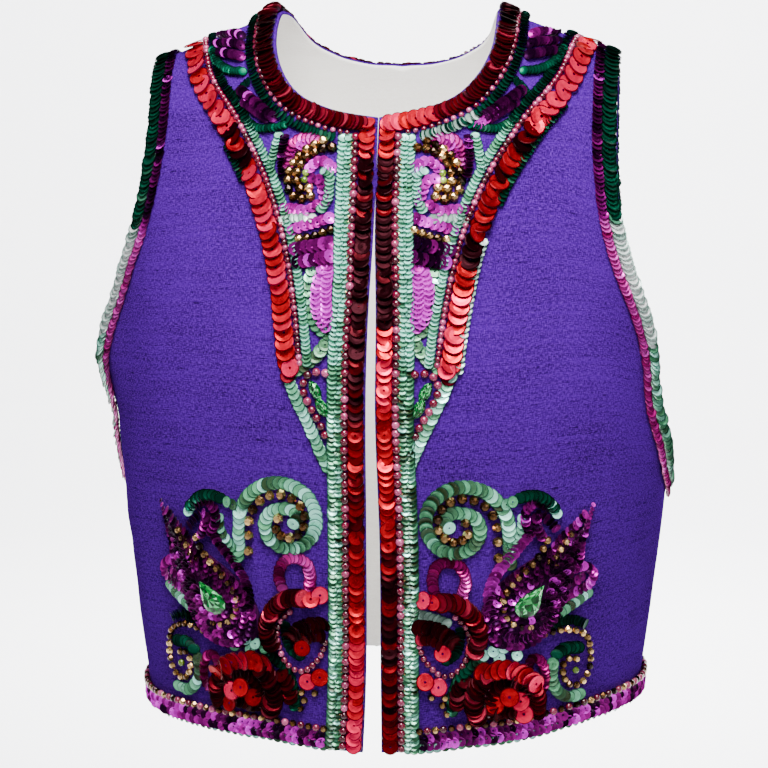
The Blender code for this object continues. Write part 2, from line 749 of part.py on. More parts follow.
def build_motifs(side):
    hand = SIDE_NAMES[side]

    def along(name, places, half_width, height, colour, step, closed=False):
        route = mirrored(shifted(places, side), side)
        if not closed:
            route = respaced(FRONT, smooth_route(route, 6), step=step)
        return ribbon(f"{name}_{hand}", FRONT, side, route, strip(half_width, height), colour, closed)

    ring = circle(RING_CENTRE, RING_RADIUS, 16)
    rosette = circle(ROSETTE_CENTRE, ROSETTE_RADIUS, 18)
    along("scroll", scroll_places(), SCROLL_HALF_WIDTH, 0.0020, "mint", 0.0062)
    along("ring", ring, RING_HALF_WIDTH, 0.0020, "magenta", 0.0, True)
    along("rosette", rosette, ROSETTE_HALF_WIDTH, 0.0036, "maroon", 0.0, True)
    along("side_curl", SIDE_CURL, SIDE_CURL_HALF_WIDTH, 0.0032, "bronze", 0.006)
    along("bib_curl", BIB_CURL, BIB_CURL_HALF_WIDTH, 0.0034, "bronze", 0.006)
    for number, (start, end, half_width) in enumerate(BIB_BARS, 1):
        along(f"bib_bar_{number}", (start, end), half_width, 0.0022, "magenta", 0.009)

    def raised(name, outline, height, colour, base=TRIM_LIFT):
        return pad(f"{name}_{hand}", side, outline, height, colour, base)

    flower = flower_outline(FLOWER_CENTRE, FLOWER_RADIUS, FLOWER_PETALS, 6 * FLOWER_PETALS)
    raised("flower", flower, 0.0052, "red")
    paisley = drop_outline(PAISLEY_CENTRE, PAISLEY_LENGTH, PAISLEY_WIDTH, PAISLEY_LEAN)
    raised("paisley", paisley, 0.0046, "magenta")
    stone = drop_outline(STONE_CENTRE, STONE_LENGTH, STONE_WIDTH, PAISLEY_LEAN, 12)
    raised("paisley_stone", stone, 0.0050, "crystal", 0.0046 + 2 * TRIM_LIFT)
    leaf = drop_outline(LEAF_CENTRE, LEAF_LENGTH, LEAF_WIDTH, 0.0, 12)
    raised("leaf", leaf, 0.0030, "magenta")
    crystal = drop_outline(DROP_CENTRE, DROP_LENGTH, DROP_WIDTH, DROP_LEAN, 12)
    raised("bib_drop", crystal, 0.0036, "crystal")


for old in list(bpy.data.objects):
    bpy.data.objects.remove(old, do_unlink=True)
parts = bpy.data.collections.new("bolero")
bpy.context.scene.collection.children.link(parts)

build_panels()
build_back_bands()
for body_side in (RIGHT, LEFT):
    build_edge_bands(body_side)
    build_yoke(body_side)
    build_motifs(body_side)
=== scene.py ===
"""The looks of a sleeveless silk bolero: slubbed violet silk with an ivory lining, and its
sequins, beads and crystals, each row sewn along the same lines as the solids. Metres,
+Z up, the fronts face -Y. Right and left are the wearer's."""

from functools import partial

import bmesh
import bpy
import numpy as np
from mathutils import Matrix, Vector


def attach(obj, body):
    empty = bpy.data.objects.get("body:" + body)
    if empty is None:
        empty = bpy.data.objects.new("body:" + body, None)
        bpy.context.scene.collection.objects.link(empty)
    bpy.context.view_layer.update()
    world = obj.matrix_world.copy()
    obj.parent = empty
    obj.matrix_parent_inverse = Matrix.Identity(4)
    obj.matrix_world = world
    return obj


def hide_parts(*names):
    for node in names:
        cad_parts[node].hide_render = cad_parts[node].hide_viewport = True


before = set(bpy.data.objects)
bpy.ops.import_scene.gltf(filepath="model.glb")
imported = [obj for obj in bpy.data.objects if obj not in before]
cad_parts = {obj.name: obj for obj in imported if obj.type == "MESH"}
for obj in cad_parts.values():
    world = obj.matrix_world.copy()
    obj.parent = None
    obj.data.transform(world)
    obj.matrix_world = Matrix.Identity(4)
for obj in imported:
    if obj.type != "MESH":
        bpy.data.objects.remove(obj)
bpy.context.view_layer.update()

chance = np.random.default_rng(11)

# Cloth and gaps
WALL = 0.0020
TRIM_LIFT = 0.0006
EDGE_MARGIN = 0.0008

# Faces of the body, and the sides by the wearer's hand
FRONT, BACK = -1, 1
RIGHT, LEFT = -1, 1
SIDE_NAMES = {RIGHT: "right", LEFT: "left"}
COLUMN_OF = {RIGHT: 1, LEFT: 2}

# The shoulder line, which the fronts and the back meet on
NECK_HALF_WIDTH = 0.0678
NECK_ROUNDING = 0.045
SHOULDER_FALL = 0.420
SHOULDER_FORWARD = 0.018

# How far below the shoulder line each face reaches its full depth, and how bluntly
TOP_REACH = 0.240
TOP_BLUNTNESS = {FRONT: 1.6, BACK: 1.3}

# Rounds of the body: height, half width, depth in front, depth behind
SECTION_POWER = 2.3
HALF_WIDTH, FRONT_DEPTH, BACK_DEPTH = 1, 2, 3
SECTIONS = (
    (-0.4580, 0.1535, 0.1080, 0.0915),
    (-0.4365, 0.1560, 0.1095, 0.0930),
    (-0.3625, 0.1650, 0.1160, 0.0985),
    (-0.2895, 0.1725, 0.1210, 0.1055),
    (-0.2180, 0.1755, 0.1230, 0.1110),
    (-0.1470, 0.1750, 0.1200, 0.1140),
    (-0.0780, 0.1735, 0.1160, 0.1150),
    (0.0500, 0.1710, 0.1120, 0.1130),
)

# Where the armhole edge stands away from the body: side, height, spread above, spread
# below, distance
ARMHOLE_STAND = (
    (RIGHT, -0.205, 0.066, 0.048, 0.0100),
    (LEFT, -0.248, 0.036, 0.036, 0.0030),
)
STAND_STARTS, STAND_FULL = 0.66, 0.88

# Soft folds: face, turn, its spread, top, bottom, distance out
FOLDS = (
    (FRONT, -0.66, 0.15, -0.230, -0.440, 0.0030),
    (FRONT, -0.86, 0.11, -0.250, -0.380, -0.0025),
    (FRONT, 0.50, 0.16, -0.260, -0.450, 0.0025),
    (FRONT, 0.83, 0.12, -0.285, -0.400, -0.0030),
    (BACK, 0.34, 0.20, -0.210, -0.445, 0.0035),
    (BACK, -0.06, 0.18, -0.250, -0.450, -0.0035),
    (BACK, -0.46, 0.20, -0.225, -0.440, 0.0030),
    (BACK, 0.76, 0.16, -0.270, -0.430, -0.0025),
)

# Outlines. Hems: turn from the centre (0) to the side (1), height right and left
HEM = {
    FRONT: (
        (0.00, -0.4375, -0.4370),
        (0.08, -0.4365, -0.4360),
        (0.20, -0.4335, -0.4325),
        (0.35, -0.4325, -0.4295),
        (0.50, -0.4325, -0.4240),
        (0.70, -0.4335, -0.4215),
        (1.00, -0.4335, -0.4235),
    ),
    BACK: (
        (0.00, -0.4300, -0.4300),
        (0.50, -0.4310, -0.4275),
        (1.00, -0.4335, -0.4235),
    ),
}
UNDERARM = -0.2845

# Front edges: height, distance of the right and left one from the centre line
FRONT_EDGES = (
    (-0.4490, 0.0058, 0.0062),
    (-0.4060, 0.0031, 0.0062),
    (-0.3005, 0.0014, 0.0063),
    (-0.2385, 0.0014, 0.0043),
    (-0.1775, 0.0006, 0.0040),
    (-0.1275, -0.0012, 0.0020),
    (-0.0485, -0.0010, 0.0018),
)

# Necklines: distance from the centre line, height; each ends on the shoulder line, and the
# front one starts at the front edge
NECK_FOOT = {FRONT: -0.0643, BACK: -0.0300}
NECKLINE = {
    FRONT: (
        (0.0138, -0.0622),
        (0.0277, -0.0592),
        (0.0450, -0.0519),
        (0.0562, -0.0407),
        (0.0630, -0.0276),
        (0.0659, -0.0136),
    ),
    BACK: (
        (0.0220, -0.0285),
        (0.0430, -0.0225),
        (0.0580, -0.0115),
    ),
}
NECK_POINT = 0.0664

# Armholes: height, turn from the centre (0) to the side (1), right and left
SHOULDER_TIP_TURN = {RIGHT: 0.618, LEFT: 0.572}
ARMHOLE = {
    FRONT: (
        (-0.0445, 0.610, 0.560),
        (-0.0780, 0.602, 0.552),
        (-0.1115, 0.628, 0.562),
        (-0.1335, 0.668, 0.588),
        (-0.1525, 0.725, 0.625),
        (-0.1775, 0.790, 0.690),
        (-0.2025, 0.836, 0.738),
        (-0.2300, 0.868, 0.762),
        (-0.2545, 0.902, 0.830),
        (-0.2730, 0.948, 0.912),
    ),
    BACK: (
        (-0.0500, 0.612, 0.566),
        (-0.1000, 0.602, 0.562),
        (-0.1500, 0.625, 0.592),
        (-0.2000, 0.690, 0.665),
        (-0.2400, 0.780, 0.760),
        (-0.2690, 0.895, 0.880),
    ),
}

# Rows of the cloth below and above the underarm and beside the neck, and columns of a half
# panel
LOW_ROWS, HIGH_ROWS, NECK_ROWS, COLUMNS = 32, 72, 26, 48
NECK_EASING, SHOULDER_EASING = 1.15, 1.25

# Bands, and what is left free where two meet
FRONT_BAND_WIDTH, NECK_BAND_WIDTH, CORNER_GAP = 0.0210, 0.0190, 0.0010

# Middle of the yoke band's large sequins: distance from the centre line, height
YOKE_LINE = (
    (0.1115, -0.0407),
    (0.0882, -0.0725),
    (0.0706, -0.1025),
    (0.0580, -0.1363),
    (0.0507, -0.1724),
    (0.0466, -0.2058),
)
YOKE_AT_SHOULDER = 0.1221

# Motifs. Places are distance from the centre line, height
MOTIF_SHIFT, SHIFTED_BELOW = {RIGHT: 0.0, LEFT: 0.0030}, -0.260
SCROLL_CENTRE = (0.0485, -0.2970)
SCROLL_FOOT = (0.0780, -0.3215)
# The scroll's windings: degrees wound from its outer side, radius
SCROLL = (
    (-8, 0.0290),
    (90, 0.0230),
    (180, 0.0182),
    (270, 0.0158),
    (360, 0.0122),
    (430, 0.0078),
)
PAISLEY_CENTRE, PAISLEY_LENGTH, PAISLEY_WIDTH = (0.0985, -0.3395), 0.0860, 0.0410
PAISLEY_LEAN = 0.62
STONE_CENTRE, STONE_LENGTH, STONE_WIDTH = (0.0950, -0.3478), 0.0225, 0.0135

# Creases in the silk: face, turn, height, half length, half width, lean in degrees, distance
# out
CREASES = (
    (FRONT, -0.80, -0.318, 0.055, 0.011, 38, 0.0007),
    (FRONT, -0.70, -0.392, 0.050, 0.010, 62, -0.0006),
    (FRONT, -0.52, -0.240, 0.060, 0.013, 15, 0.0005),
    (FRONT, -0.62, -0.205, 0.045, 0.009, 35, -0.0005),
    (FRONT, -0.35, -0.300, 0.070, 0.014, 5, 0.0005),
    (FRONT, -0.34, -0.150, 0.040, 0.010, 20, -0.0004),
    (FRONT, 0.84, -0.330, 0.050, 0.010, -40, 0.0008),
    (FRONT, 0.76, -0.395, 0.045, 0.010, -66, -0.0006),
    (FRONT, 0.60, -0.250, 0.060, 0.012, -18, 0.0006),
    (FRONT, 0.40, -0.190, 0.050, 0.011, -10, -0.0005),
    (FRONT, 0.36, -0.345, 0.060, 0.014, -6, 0.0005),
    (BACK, -0.78, -0.330, 0.055, 0.011, 42, 0.0007),
    (BACK, 0.80, -0.320, 0.055, 0.011, -40, 0.0007),
    (BACK, -0.50, -0.260, 0.080, 0.015, 12, -0.0006),
    (BACK, 0.44, -0.300, 0.080, 0.014, -14, 0.0006),
    (BACK, 0.05, -0.200, 0.090, 0.016, 4, 0.0005),
    (BACK, -0.22, -0.380, 0.050, 0.012, 26, 0.0006),
    (BACK, 0.24, -0.400, 0.045, 0.012, -20, -0.0005),
    (BACK, -0.40, -0.130, 0.040, 0.012, 30, 0.0004),
    (BACK, 0.42, -0.140, 0.040, 0.012, -30, 0.0004),
)
# How far a crease bows aside, and how deep the cloth dips beside its ridge
CREASE_BOW, CREASE_DIP = 1.5, 0.5
# The length of a quarter of the jacket's round
QUARTER_ROUND = 0.235

# The two pointed stones of the bib
MARQUISES = ((0.0300, -0.2190), (0.0262, -0.2285))
MARQUISE_LENGTH, MARQUISE_WIDTH, MARQUISE_LEAN = 0.0125, 0.0066, 0.50
# From the paisley's middle to its stone, and from the scroll's end on to its eye
STONE_STEP = (-0.0012, 0.0022)
EYE_STEPS = ((-0.0030, 0.0010), (-0.0064, 0.0004), (-0.0100, -0.0040), (-0.0075, -0.0080))

# Steps of turn and drop over which a slope is measured, and what counts as on a seam
SLOPE_STEP, SEAM_NEAR = 0.0008, 1e-6

# Rounds in which a point's height and distance settle, steps of a walk over the cloth,
# steps of a bend, and points along an edge, a hem and a seam
SETTLING_ROUNDS, WALK_STEPS, BEND_STEPS, MOTIF_BEND_STEPS = 3, 3, 12, 6
EDGE_POINTS, HEM_POINTS, SEAM_POINTS = 40, 60, 30
# Points along the scroll, and round each row inside the paisley
SCROLL_POINTS, PAISLEY_POINTS = 40, 60

# How sharply a drop and a pointed oval narrow to their tips, and a drop's measure of width
DROP_TAPER, LENS_TAPER, DROP_WIDEST = 0.75, 0.35, 1.42

# Cloth as cut: width, length, area
CUTS = {
    "front_right": (0.252, 0.452, 0.083),
    "front_left": (0.246, 0.452, 0.0765),
    "back": (0.474, 0.446, 0.160),
}


# The body's form

def read_smooth(table, place, index):
    """A table's column at a place between its rows, on a smooth curve through them."""
    rows = np.array(table)
    places, values = rows[:, 0], rows[:, index]
    slopes = np.gradient(values, places)
    place = np.clip(place, places[0], places[-1])
    low = np.clip(np.searchsorted(places, place, side="right") - 1, 0, len(places) - 2)
    span = places[low + 1] - places[low]
    s = (place - places[low]) / span
    return (
        (2 * s**3 - 3 * s**2 + 1) * values[low]
        + (s**3 - 2 * s**2 + s) * span * slopes[low]
        + (3 * s**2 - 2 * s**3) * values[low + 1]
        + (s**3 - s**2) * span * slopes[low + 1]
    )


def signed_power(value, power):
    return np.sign(value) * np.abs(value) ** power


def sideways(turn):
    """The share of the half width that a turn reaches."""
    return signed_power(np.sin(turn * np.pi / 2), 2 / SECTION_POWER)


def half_width(height):
    return read_smooth(SECTIONS, height, HALF_WIDTH)


def ease(value):
    """A soft step from 0 to 1."""
    value = np.clip(value, 0.0, 1.0)
    return value * value * (3 - 2 * value)


def bell(value, middle, spread):
    """A soft hump of height 1 at its middle, and 0 past its spread."""
    return 0.5 + 0.5 * np.cos(np.pi * np.clip((value - middle) / spread, -1.0, 1.0))


def shoulder_height(across):
    """The height of the shoulder line, which is round over the neck's opening."""
    rounded = np.sqrt(across**2 + NECK_ROUNDING**2)
    return -SHOULDER_FALL * (rounded - np.hypot(NECK_HALF_WIDTH, NECK_ROUNDING))


def stand_away(face, turn, height):
    """How far the cloth stands out of the body's form, in its folds and at the armholes."""
    out = np.zeros_like(turn * height)
    for side, middle, above, below, distance in ARMHOLE_STAND:
        ramp = ease((side * turn - STAND_STARTS) / (STAND_FULL - STAND_STARTS))
        spread = np.where(height > middle, above, below)
        out = out + distance * ramp * bell(height, middle, spread)
    for fold_face, middle, spread, top, bottom, distance in FOLDS:
        if fold_face == face:
            length = bell(height, (top + bottom) / 2, (top - bottom) / 2)
            out = out + distance * bell(turn, middle, spread) * length
    for crease_face, middle, level, half_length, reach, lean, distance in CREASES:
        if crease_face == face:
            aside, up = (turn - middle) * QUARTER_ROUND, height - level
            lean = np.radians(lean)
            along = up * np.cos(lean) + aside * np.sin(lean)
            across = aside * np.cos(lean) - up * np.sin(lean) + CREASE_BOW * along**2
            ridge = bell(across, 0.0, reach) - CREASE_DIP * bell(across, reach, reach)
            out = out + distance * ridge * bell(along, 0.0, half_length)
    return out


def form(face, turn, drop):
    """Points of the cloth's outside. turn runs from -1 at the right side through 0 at the
    centre line to 1 at the left side, and drop from 0 on the shoulder line down."""
    turn, drop = np.broadcast_arrays(np.asarray(turn, float), np.asarray(drop, float))
    forwards = signed_power(np.cos(turn * np.pi / 2), 2 / SECTION_POWER)
    across = half_width(SECTIONS[-1][0]) * sideways(turn)
    for _ in range(SETTLING_ROUNDS):
        height = shoulder_height(across) - TOP_REACH * drop**2
        across = half_width(height) * sideways(turn)
    height = shoulder_height(across) - TOP_REACH * drop**2
    fullness = np.sqrt(1 - (1 - np.minimum(drop**2, 1.0)) ** TOP_BLUNTNESS[face])
    depth = read_smooth(SECTIONS, height, FRONT_DEPTH if face == FRONT else BACK_DEPTH)
    reach = (face * depth * forwards + SHOULDER_FORWARD) * np.sign(drop) * fullness
    out = stand_away(face, turn, height)
    return np.stack(
        [
            across + out * np.sin(turn * np.pi / 2),
            reach - SHOULDER_FORWARD + face * out * np.cos(turn * np.pi / 2),
            height,
        ],
        axis=-1,
    )


def slopes(face, turn, drop):
    """How a point of the cloth moves with turn and with drop."""
    by_turn = form(face, turn + SLOPE_STEP, drop) - form(face, turn - SLOPE_STEP, drop)
    by_drop = form(face, turn, drop + SLOPE_STEP) - form(face, turn, drop - SLOPE_STEP)
    return by_turn / (2 * SLOPE_STEP), by_drop / (2 * SLOPE_STEP)


def unit(vectors):
    return vectors / np.linalg.norm(vectors, axis=-1, keepdims=True)


def outward(face, turn, drop):
    """The cloth's outward direction."""
    by_turn, by_drop = slopes(face, turn, drop)
    return unit(face * np.cross(by_turn, by_drop))


def drop_at(across, height):
    return np.sqrt(np.maximum(shoulder_height(across) - height, 0.0) / TOP_REACH)


def at_turn(turn, height):
    """Turn and drop of a point given by its turn and height."""
    return np.stack([turn, drop_at(half_width(height) * sideways(turn), height)], axis=-1)


def at_distance(across, height):
    """Turn and drop of a point given by its distance from the centre line and its height."""
    share = np.clip(np.abs(across) / half_width(height), 0.0, 1.0)
    turn = np.sign(across) * np.arcsin(share ** (SECTION_POWER / 2)) * 2 / np.pi
    return np.stack([turn, drop_at(across, height)], axis=-1)


# Routes along the cloth: arrays with a row of turn and drop for each point

def smooth_route(route, steps=BEND_STEPS):
    """A route with smooth bends through the given points."""
    route = np.asarray(route)
    ends = np.vstack([2 * route[0] - route[1], route, 2 * route[-1] - route[-2]])
    s = np.linspace(0, 1, steps, endpoint=False)[:, None]
    bends = []
    for a, b, c, d in zip(ends, ends[1:], ends[2:], ends[3:]):
        turning = 2 * a - 5 * b + 4 * c - d
        twisting = 3 * b - a - 3 * c + d
        bends.append(0.5 * (2 * b + (c - a) * s + turning * s**2 + twisting * s**3))
    return np.vstack(bends + [route[-1:]])


def lengths_along(face, route):
    """How far along the cloth each point of a route lies."""
    steps = np.linalg.norm(np.diff(form(face, *route.T), axis=0), axis=1)
    return np.concatenate([[0], np.cumsum(steps)])


def at_lengths(route, lengths, wanted):
    return np.stack([np.interp(wanted, lengths, column) for column in route.T], axis=-1)


def respaced(face, route, count, easing=1.0):
    """The same route in even steps along the cloth, or closer ones toward its end."""
    lengths = lengths_along(face, route)
    shares = 1 - (1 - np.linspace(0, 1, count + 1)) ** easing
    return at_lengths(route, lengths, shares * lengths[-1])


def walk(face, route, direction, distance):
    """Each point of a route moved over the cloth by a distance in a direction."""
    turn, drop = route.T
    for _ in range(WALK_STEPS):
        by_turn, by_drop = slopes(face, turn, drop)
        tt = (by_turn * by_turn).sum(-1)
        td = (by_turn * by_drop).sum(-1)
        dd = (by_drop * by_drop).sum(-1)
        t = (direction * by_turn).sum(-1) * distance / WALK_STEPS
        d = (direction * by_drop).sum(-1) * distance / WALK_STEPS
        whole = tt * dd - td * td
        turn = turn + (t * dd - d * td) / whole
        drop = drop + (d * tt - t * td) / whole
    return np.stack([turn, drop], axis=-1)


def directions(points, closed=False):
    """The direction along a row at each of its points."""
    if closed:
        return unit(np.roll(points, -1, axis=0) - np.roll(points, 1, axis=0))
    return unit(np.gradient(points, axis=0))


def beside(face, side, route, closed=False):
    """The direction over the cloth, square to a route, or along the seam where it ends on
    one. It points away from the centre line where the route goes up."""
    along = directions(form(face, *route.T), closed)
    direction = side * face * np.cross(outward(face, *route.T), along)
    by_turn, by_drop = slopes(face, *route.T)
    at_side, at_shoulder = 1 - np.abs(route[:, 0]) < SEAM_NEAR, route[:, 1] < SEAM_NEAR
    for on_seam, seam in ((at_side, by_drop), (at_shoulder, by_turn)):
        sign = np.sign((direction * seam).sum(-1, keepdims=True))
        direction = np.where(on_seam[:, None], sign * seam, direction)
    return unit(direction)


def mirrored(places, side):
    """Turn and drop of places given for either side, on one side's front."""
    places = np.asarray(places)
    return at_distance(side * places[:, 0], places[:, 1])


def shifted(places, side):
    """A lower motif's places, moved to clear its own side's front edge."""
    places = np.asarray(places)
    low = places[:, 1].mean() < SHIFTED_BELOW
    return places + (MOTIF_SHIFT[side] if low else 0.0, 0.0)


def front_edge_distance(side, height):
    return read_smooth(FRONT_EDGES, height, COLUMN_OF[side])


def hem_height(face, side, share):
    """The hem's height at a share of the turn from the centre to the side seam."""
    return read_smooth(HEM[face], share, COLUMN_OF[side])


def hem_height_from_edge(side, distance):
    """The front hem's height at a distance in from the front edge."""
    height = HEM[FRONT][0][1]
    across = front_edge_distance(side, height) + distance
    return float(hem_height(FRONT, side, at_distance(across, height)[0]))


def front_edge(side, low, high):
    height = np.linspace(low, high, EDGE_POINTS)
    return at_distance(side * front_edge_distance(side, height), height)


def neckline(face, side):
    foot = NECK_FOOT[face]
    start = float(front_edge_distance(side, foot)) if face == FRONT else 0.0
    end = (NECK_POINT, float(shoulder_height(NECK_POINT)))
    return smooth_route(mirrored(((start, foot),) + NECKLINE[face] + (end,), side))


def armhole(face, side):
    """From the side seam up to the shoulder line."""
    rows = np.array(ARMHOLE[face])
    points = at_turn(side * rows[:, COLUMN_OF[side]], rows[:, 0])[::-1]
    first = at_turn(np.array([side * 1.0]), np.array([UNDERARM]))
    last = np.array([[side * SHOULDER_TIP_TURN[side], 0.0]])
    return smooth_route(np.vstack([first, points, last]))


def side_seam(side):
    height = np.linspace(hem_height(FRONT, side, 1.0), UNDERARM, SEAM_POINTS)
    return at_turn(np.full_like(height, side * 1.0), height)


def hem(face, side, start=0.0):
    """From near the centre line to the side seam."""
    share = np.linspace(start, 1.0, HEM_POINTS)
    return at_turn(side * share, hem_height(face, side, share))


def half_panel(face, side):
    """Turn and drop of a half panel's grid, row by row from the hem to the shoulder, each
    row from the inner outline to the side seam or armhole, and the row of the neck."""
    if face == FRONT:
        centre = front_edge(side, hem_height_from_edge(side, 0.0), NECK_FOOT[face])
    else:
        height = np.linspace(HEM[face][0][1], NECK_FOOT[face], EDGE_POINTS)
        centre = at_turn(np.zeros_like(height), height)
    rows = LOW_ROWS + HIGH_ROWS
    collar = respaced(face, neckline(face, side), NECK_ROWS, NECK_EASING)
    inner = np.vstack([respaced(face, centre, rows - NECK_ROWS)[:-1], collar])
    scye = respaced(face, armhole(face, side), HIGH_ROWS, SHOULDER_EASING)
    outer = np.vstack([respaced(face, side_seam(side), LOW_ROWS)[:-1], scye])
    start, end = form(face, *inner.T), form(face, *outer.T)
    share = np.linspace(0, 1, COLUMNS + 1)

    def straight_row(row):
        turn = inner[row, 0] + (outer[row, 0] - inner[row, 0]) * share
        across = half_width(end[row, 2]) * sideways(turn)
        along = (across - across[0]) / (across[-1] - across[0])
        return turn, across, start[row, 2] + (end[row, 2] - start[row, 2]) * along

    turn, across, height = straight_row(0)
    hem_bow = hem_height(face, side, np.abs(turn)) - height
    turn, across, height = straight_row(rows)
    shoulder_bow = shoulder_height(across) - height
    grid = []
    for row in range(rows + 1):
        turn, across, height = straight_row(row)
        height = height + hem_bow * max(0.0, 1 - row / LOW_ROWS)
        height = height + shoulder_bow * max(0.0, 1 - (rows - row) / NECK_ROWS)
        drop = drop_at(across, height)
        drop[0], drop[-1] = inner[row, 1], outer[row, 1]
        grid.append(np.stack([turn, drop], axis=-1))
    return np.array(grid)


# Outlines of the motifs: distance from the centre line, height

def on_axes(centre, along, across, lean):
    """Places along and across an upright line that leans outward by an angle."""
    return np.stack(
        [
            centre[0] + along * np.sin(lean) + across * np.cos(lean),
            centre[1] + along * np.cos(lean) - across * np.sin(lean),
        ],
        axis=-1,
    )


def drop_outline(centre, length, width, lean, count):
    """A drop whose tip leans outward from upright by an angle."""
    angle = np.linspace(0, 2 * np.pi, count, endpoint=False)
    taper = (0.5 - 0.5 * np.cos(angle)) ** DROP_TAPER
    across = np.sin(angle) * taper * width / DROP_WIDEST
    return on_axes(centre, np.cos(angle) * length / 2, across, lean)


def lens_outline(centre, length, width, lean, count):
    """A pointed oval, its upper point leaning outward from upright by an angle."""
    angle = np.linspace(0, 2 * np.pi, count, endpoint=False)
    across = width / 2 * np.sin(angle) * np.abs(np.sin(angle)) ** LENS_TAPER
    return on_axes(centre, length / 2 * np.cos(angle), across, lean)


def scroll_places():
    """From the scroll's foot up and round, winding in to its eye."""
    wound = np.linspace(SCROLL[0][0], SCROLL[-1][0], SCROLL_POINTS)
    reach, bend = read_smooth(SCROLL, wound, 1), np.radians(wound)
    winding = np.stack([reach * np.cos(bend), reach * np.sin(bend)], axis=-1) + SCROLL_CENTRE
    return np.vstack([[SCROLL_FOOT], winding])


# Finishes

def linear(red, green, blue):
    """A colour read off a screen, as the renderer counts it."""
    shares = np.array([red, green, blue]) / 255
    low = shares / 12.92
    high = ((shares + 0.055) / 1.055) ** 2.4  # as the sRGB standard has it
    return (*(float(v) for v in np.where(shares <= 0.04045, low, high)), 1.0)


def effect(name, inputs, outputs):
    """An empty shader node group with named sockets, and its two ends."""
    tree = bpy.data.node_groups.new(name, "ShaderNodeTree")
    for sockets, way in ((inputs, "INPUT"), (outputs, "OUTPUT")):
        for kind, labels in sockets:
            for label in labels:
                tree.interface.new_socket(label, in_out=way, socket_type=f"NodeSocket{kind}")
    return tree, tree.nodes.new("NodeGroupInput"), tree.nodes.new("NodeGroupOutput")


def put_in(tree, socket, term):
    """Gives a socket a plain value or another node's output."""
    if isinstance(term, (int, float, tuple)):
        socket.default_value = term
    else:
        tree.links.new(term, socket)


def calculate(tree, operation, *terms):
    """A Math node's output."""
    node = tree.nodes.new("ShaderNodeMath")
    node.operation = operation
    for socket, term in zip(node.inputs, terms):
        put_in(tree, socket, term)
    return node.outputs[0]


def blended(tree, share, low, high):
    """The colour a share of the way between two colours."""
    node = tree.nodes.new("ShaderNodeMix")
    node.data_type = "RGBA"
    node.clamp_factor = True
    for socket, term in ((node.inputs[0], share), (node.inputs[6], low), (node.inputs[7], high)):
        put_in(tree, socket, term)
    return node.outputs[2]


def noise(tree, place, scale, detail=2.0):
    """A noise texture's value. A scale of three numbers stretches it."""
    if isinstance(scale, tuple):
        mapping = tree.nodes.new("ShaderNodeMapping")
        mapping.inputs["Scale"].default_value = scale
        tree.links.new(place, mapping.inputs["Vector"])
        place, scale = mapping.outputs[0], 1.0
    node = tree.nodes.new("ShaderNodeTexNoise")
    node.inputs["Scale"].default_value = scale
    node.inputs["Detail"].default_value = detail
    tree.links.new(place, node.inputs["Vector"])
    return node.outputs["Fac"]


# Noises of the weave, per metre across and along, and of the foil
WEFT_STRETCH = (420.0, 1500.0, 1.0)
WARP_STRETCH = (1600.0, 480.0, 1.0)
SLUB_STRETCH = (95.0, 560.0, 1.0)
STREAK_STRETCH = (14.0, 420.0, 1.0)
CLOUD_SCALE = 22.0
MOTTLE_SCALE = 260.0

# How strongly each noise shows, and what brings its middle back to where it was
CLOUD_SHOWS, STREAK_SHOWS, SHADE_SHIFT = 1.2, 1.4, -0.7
WEFT_SHOWS, WARP_SHOWS, THREAD_SHIFT, THREAD_SHARE = 3.4, 3.0, -2.75, 0.6
SLUB_SHOWS, SLUB_SHIFT, SLUB_SHARE = 11.0, -7.1, 0.75
WEFT_SHEEN, DULLNESS_OF_SILK = -0.25, 0.66
WARP_RISE, SLUB_RISE = 0.6, 0.6
# The mottle fades on sequins that are painted as lit
MOTTLE_SHOWS, MOTTLE_SHIFT, MOTTLE_LOST_IN_PAINTED_LIGHT = 1.5, -0.55, -0.7
# How far a rim takes the painted shade colour
SHADED_RIM_SHARE = 0.85
OWN_ROUGHNESS, MOTTLE_ROUGHNESS, LEAST_ROUGHNESS = 0.18, 0.14, 0.16


def slubbed_weave():
    """Plain-woven silk with thick weft threads here and there. Place is in metres."""
    tree, given, put = effect(
        "slubbed weave",
        (("Vector", ("Place",)), ("Color", ("Ground", "Slub", "Shade"))),
        (("Color", ("Color",)), ("Float", ("Roughness", "Height"))),
    )
    scaled = partial(calculate, tree, "MULTIPLY_ADD")
    times = partial(calculate, tree, "MULTIPLY")
    place, ground, pale, dark = (given.outputs[k] for k in ("Place", "Ground", "Slub", "Shade"))
    weft = noise(tree, place, WEFT_STRETCH, 3.0)
    warp = noise(tree, place, WARP_STRETCH)
    thick = noise(tree, place, SLUB_STRETCH)
    cloud = noise(tree, place, CLOUD_SCALE, 3.0)
    streak = noise(tree, place, STREAK_STRETCH)
    shade = scaled(cloud, CLOUD_SHOWS, scaled(streak, STREAK_SHOWS, SHADE_SHIFT))
    ground = blended(tree, shade, dark, ground)
    threads = scaled(weft, WEFT_SHOWS, scaled(warp, WARP_SHOWS, THREAD_SHIFT))
    ground = blended(tree, times(threads, THREAD_SHARE), ground, pale)
    slub = calculate(tree, "MAXIMUM", scaled(thick, SLUB_SHOWS, SLUB_SHIFT), 0.0)
    slub = calculate(tree, "MINIMUM", slub, 1.0)
    tree.links.new(blended(tree, times(slub, SLUB_SHARE), ground, dark), put.inputs["Color"])
    tree.links.new(scaled(weft, WEFT_SHEEN, DULLNESS_OF_SILK), put.inputs["Roughness"])
    tree.links.new(scaled(slub, SLUB_RISE, scaled(warp, WARP_RISE, weft)), put.inputs["Height"])
    return tree


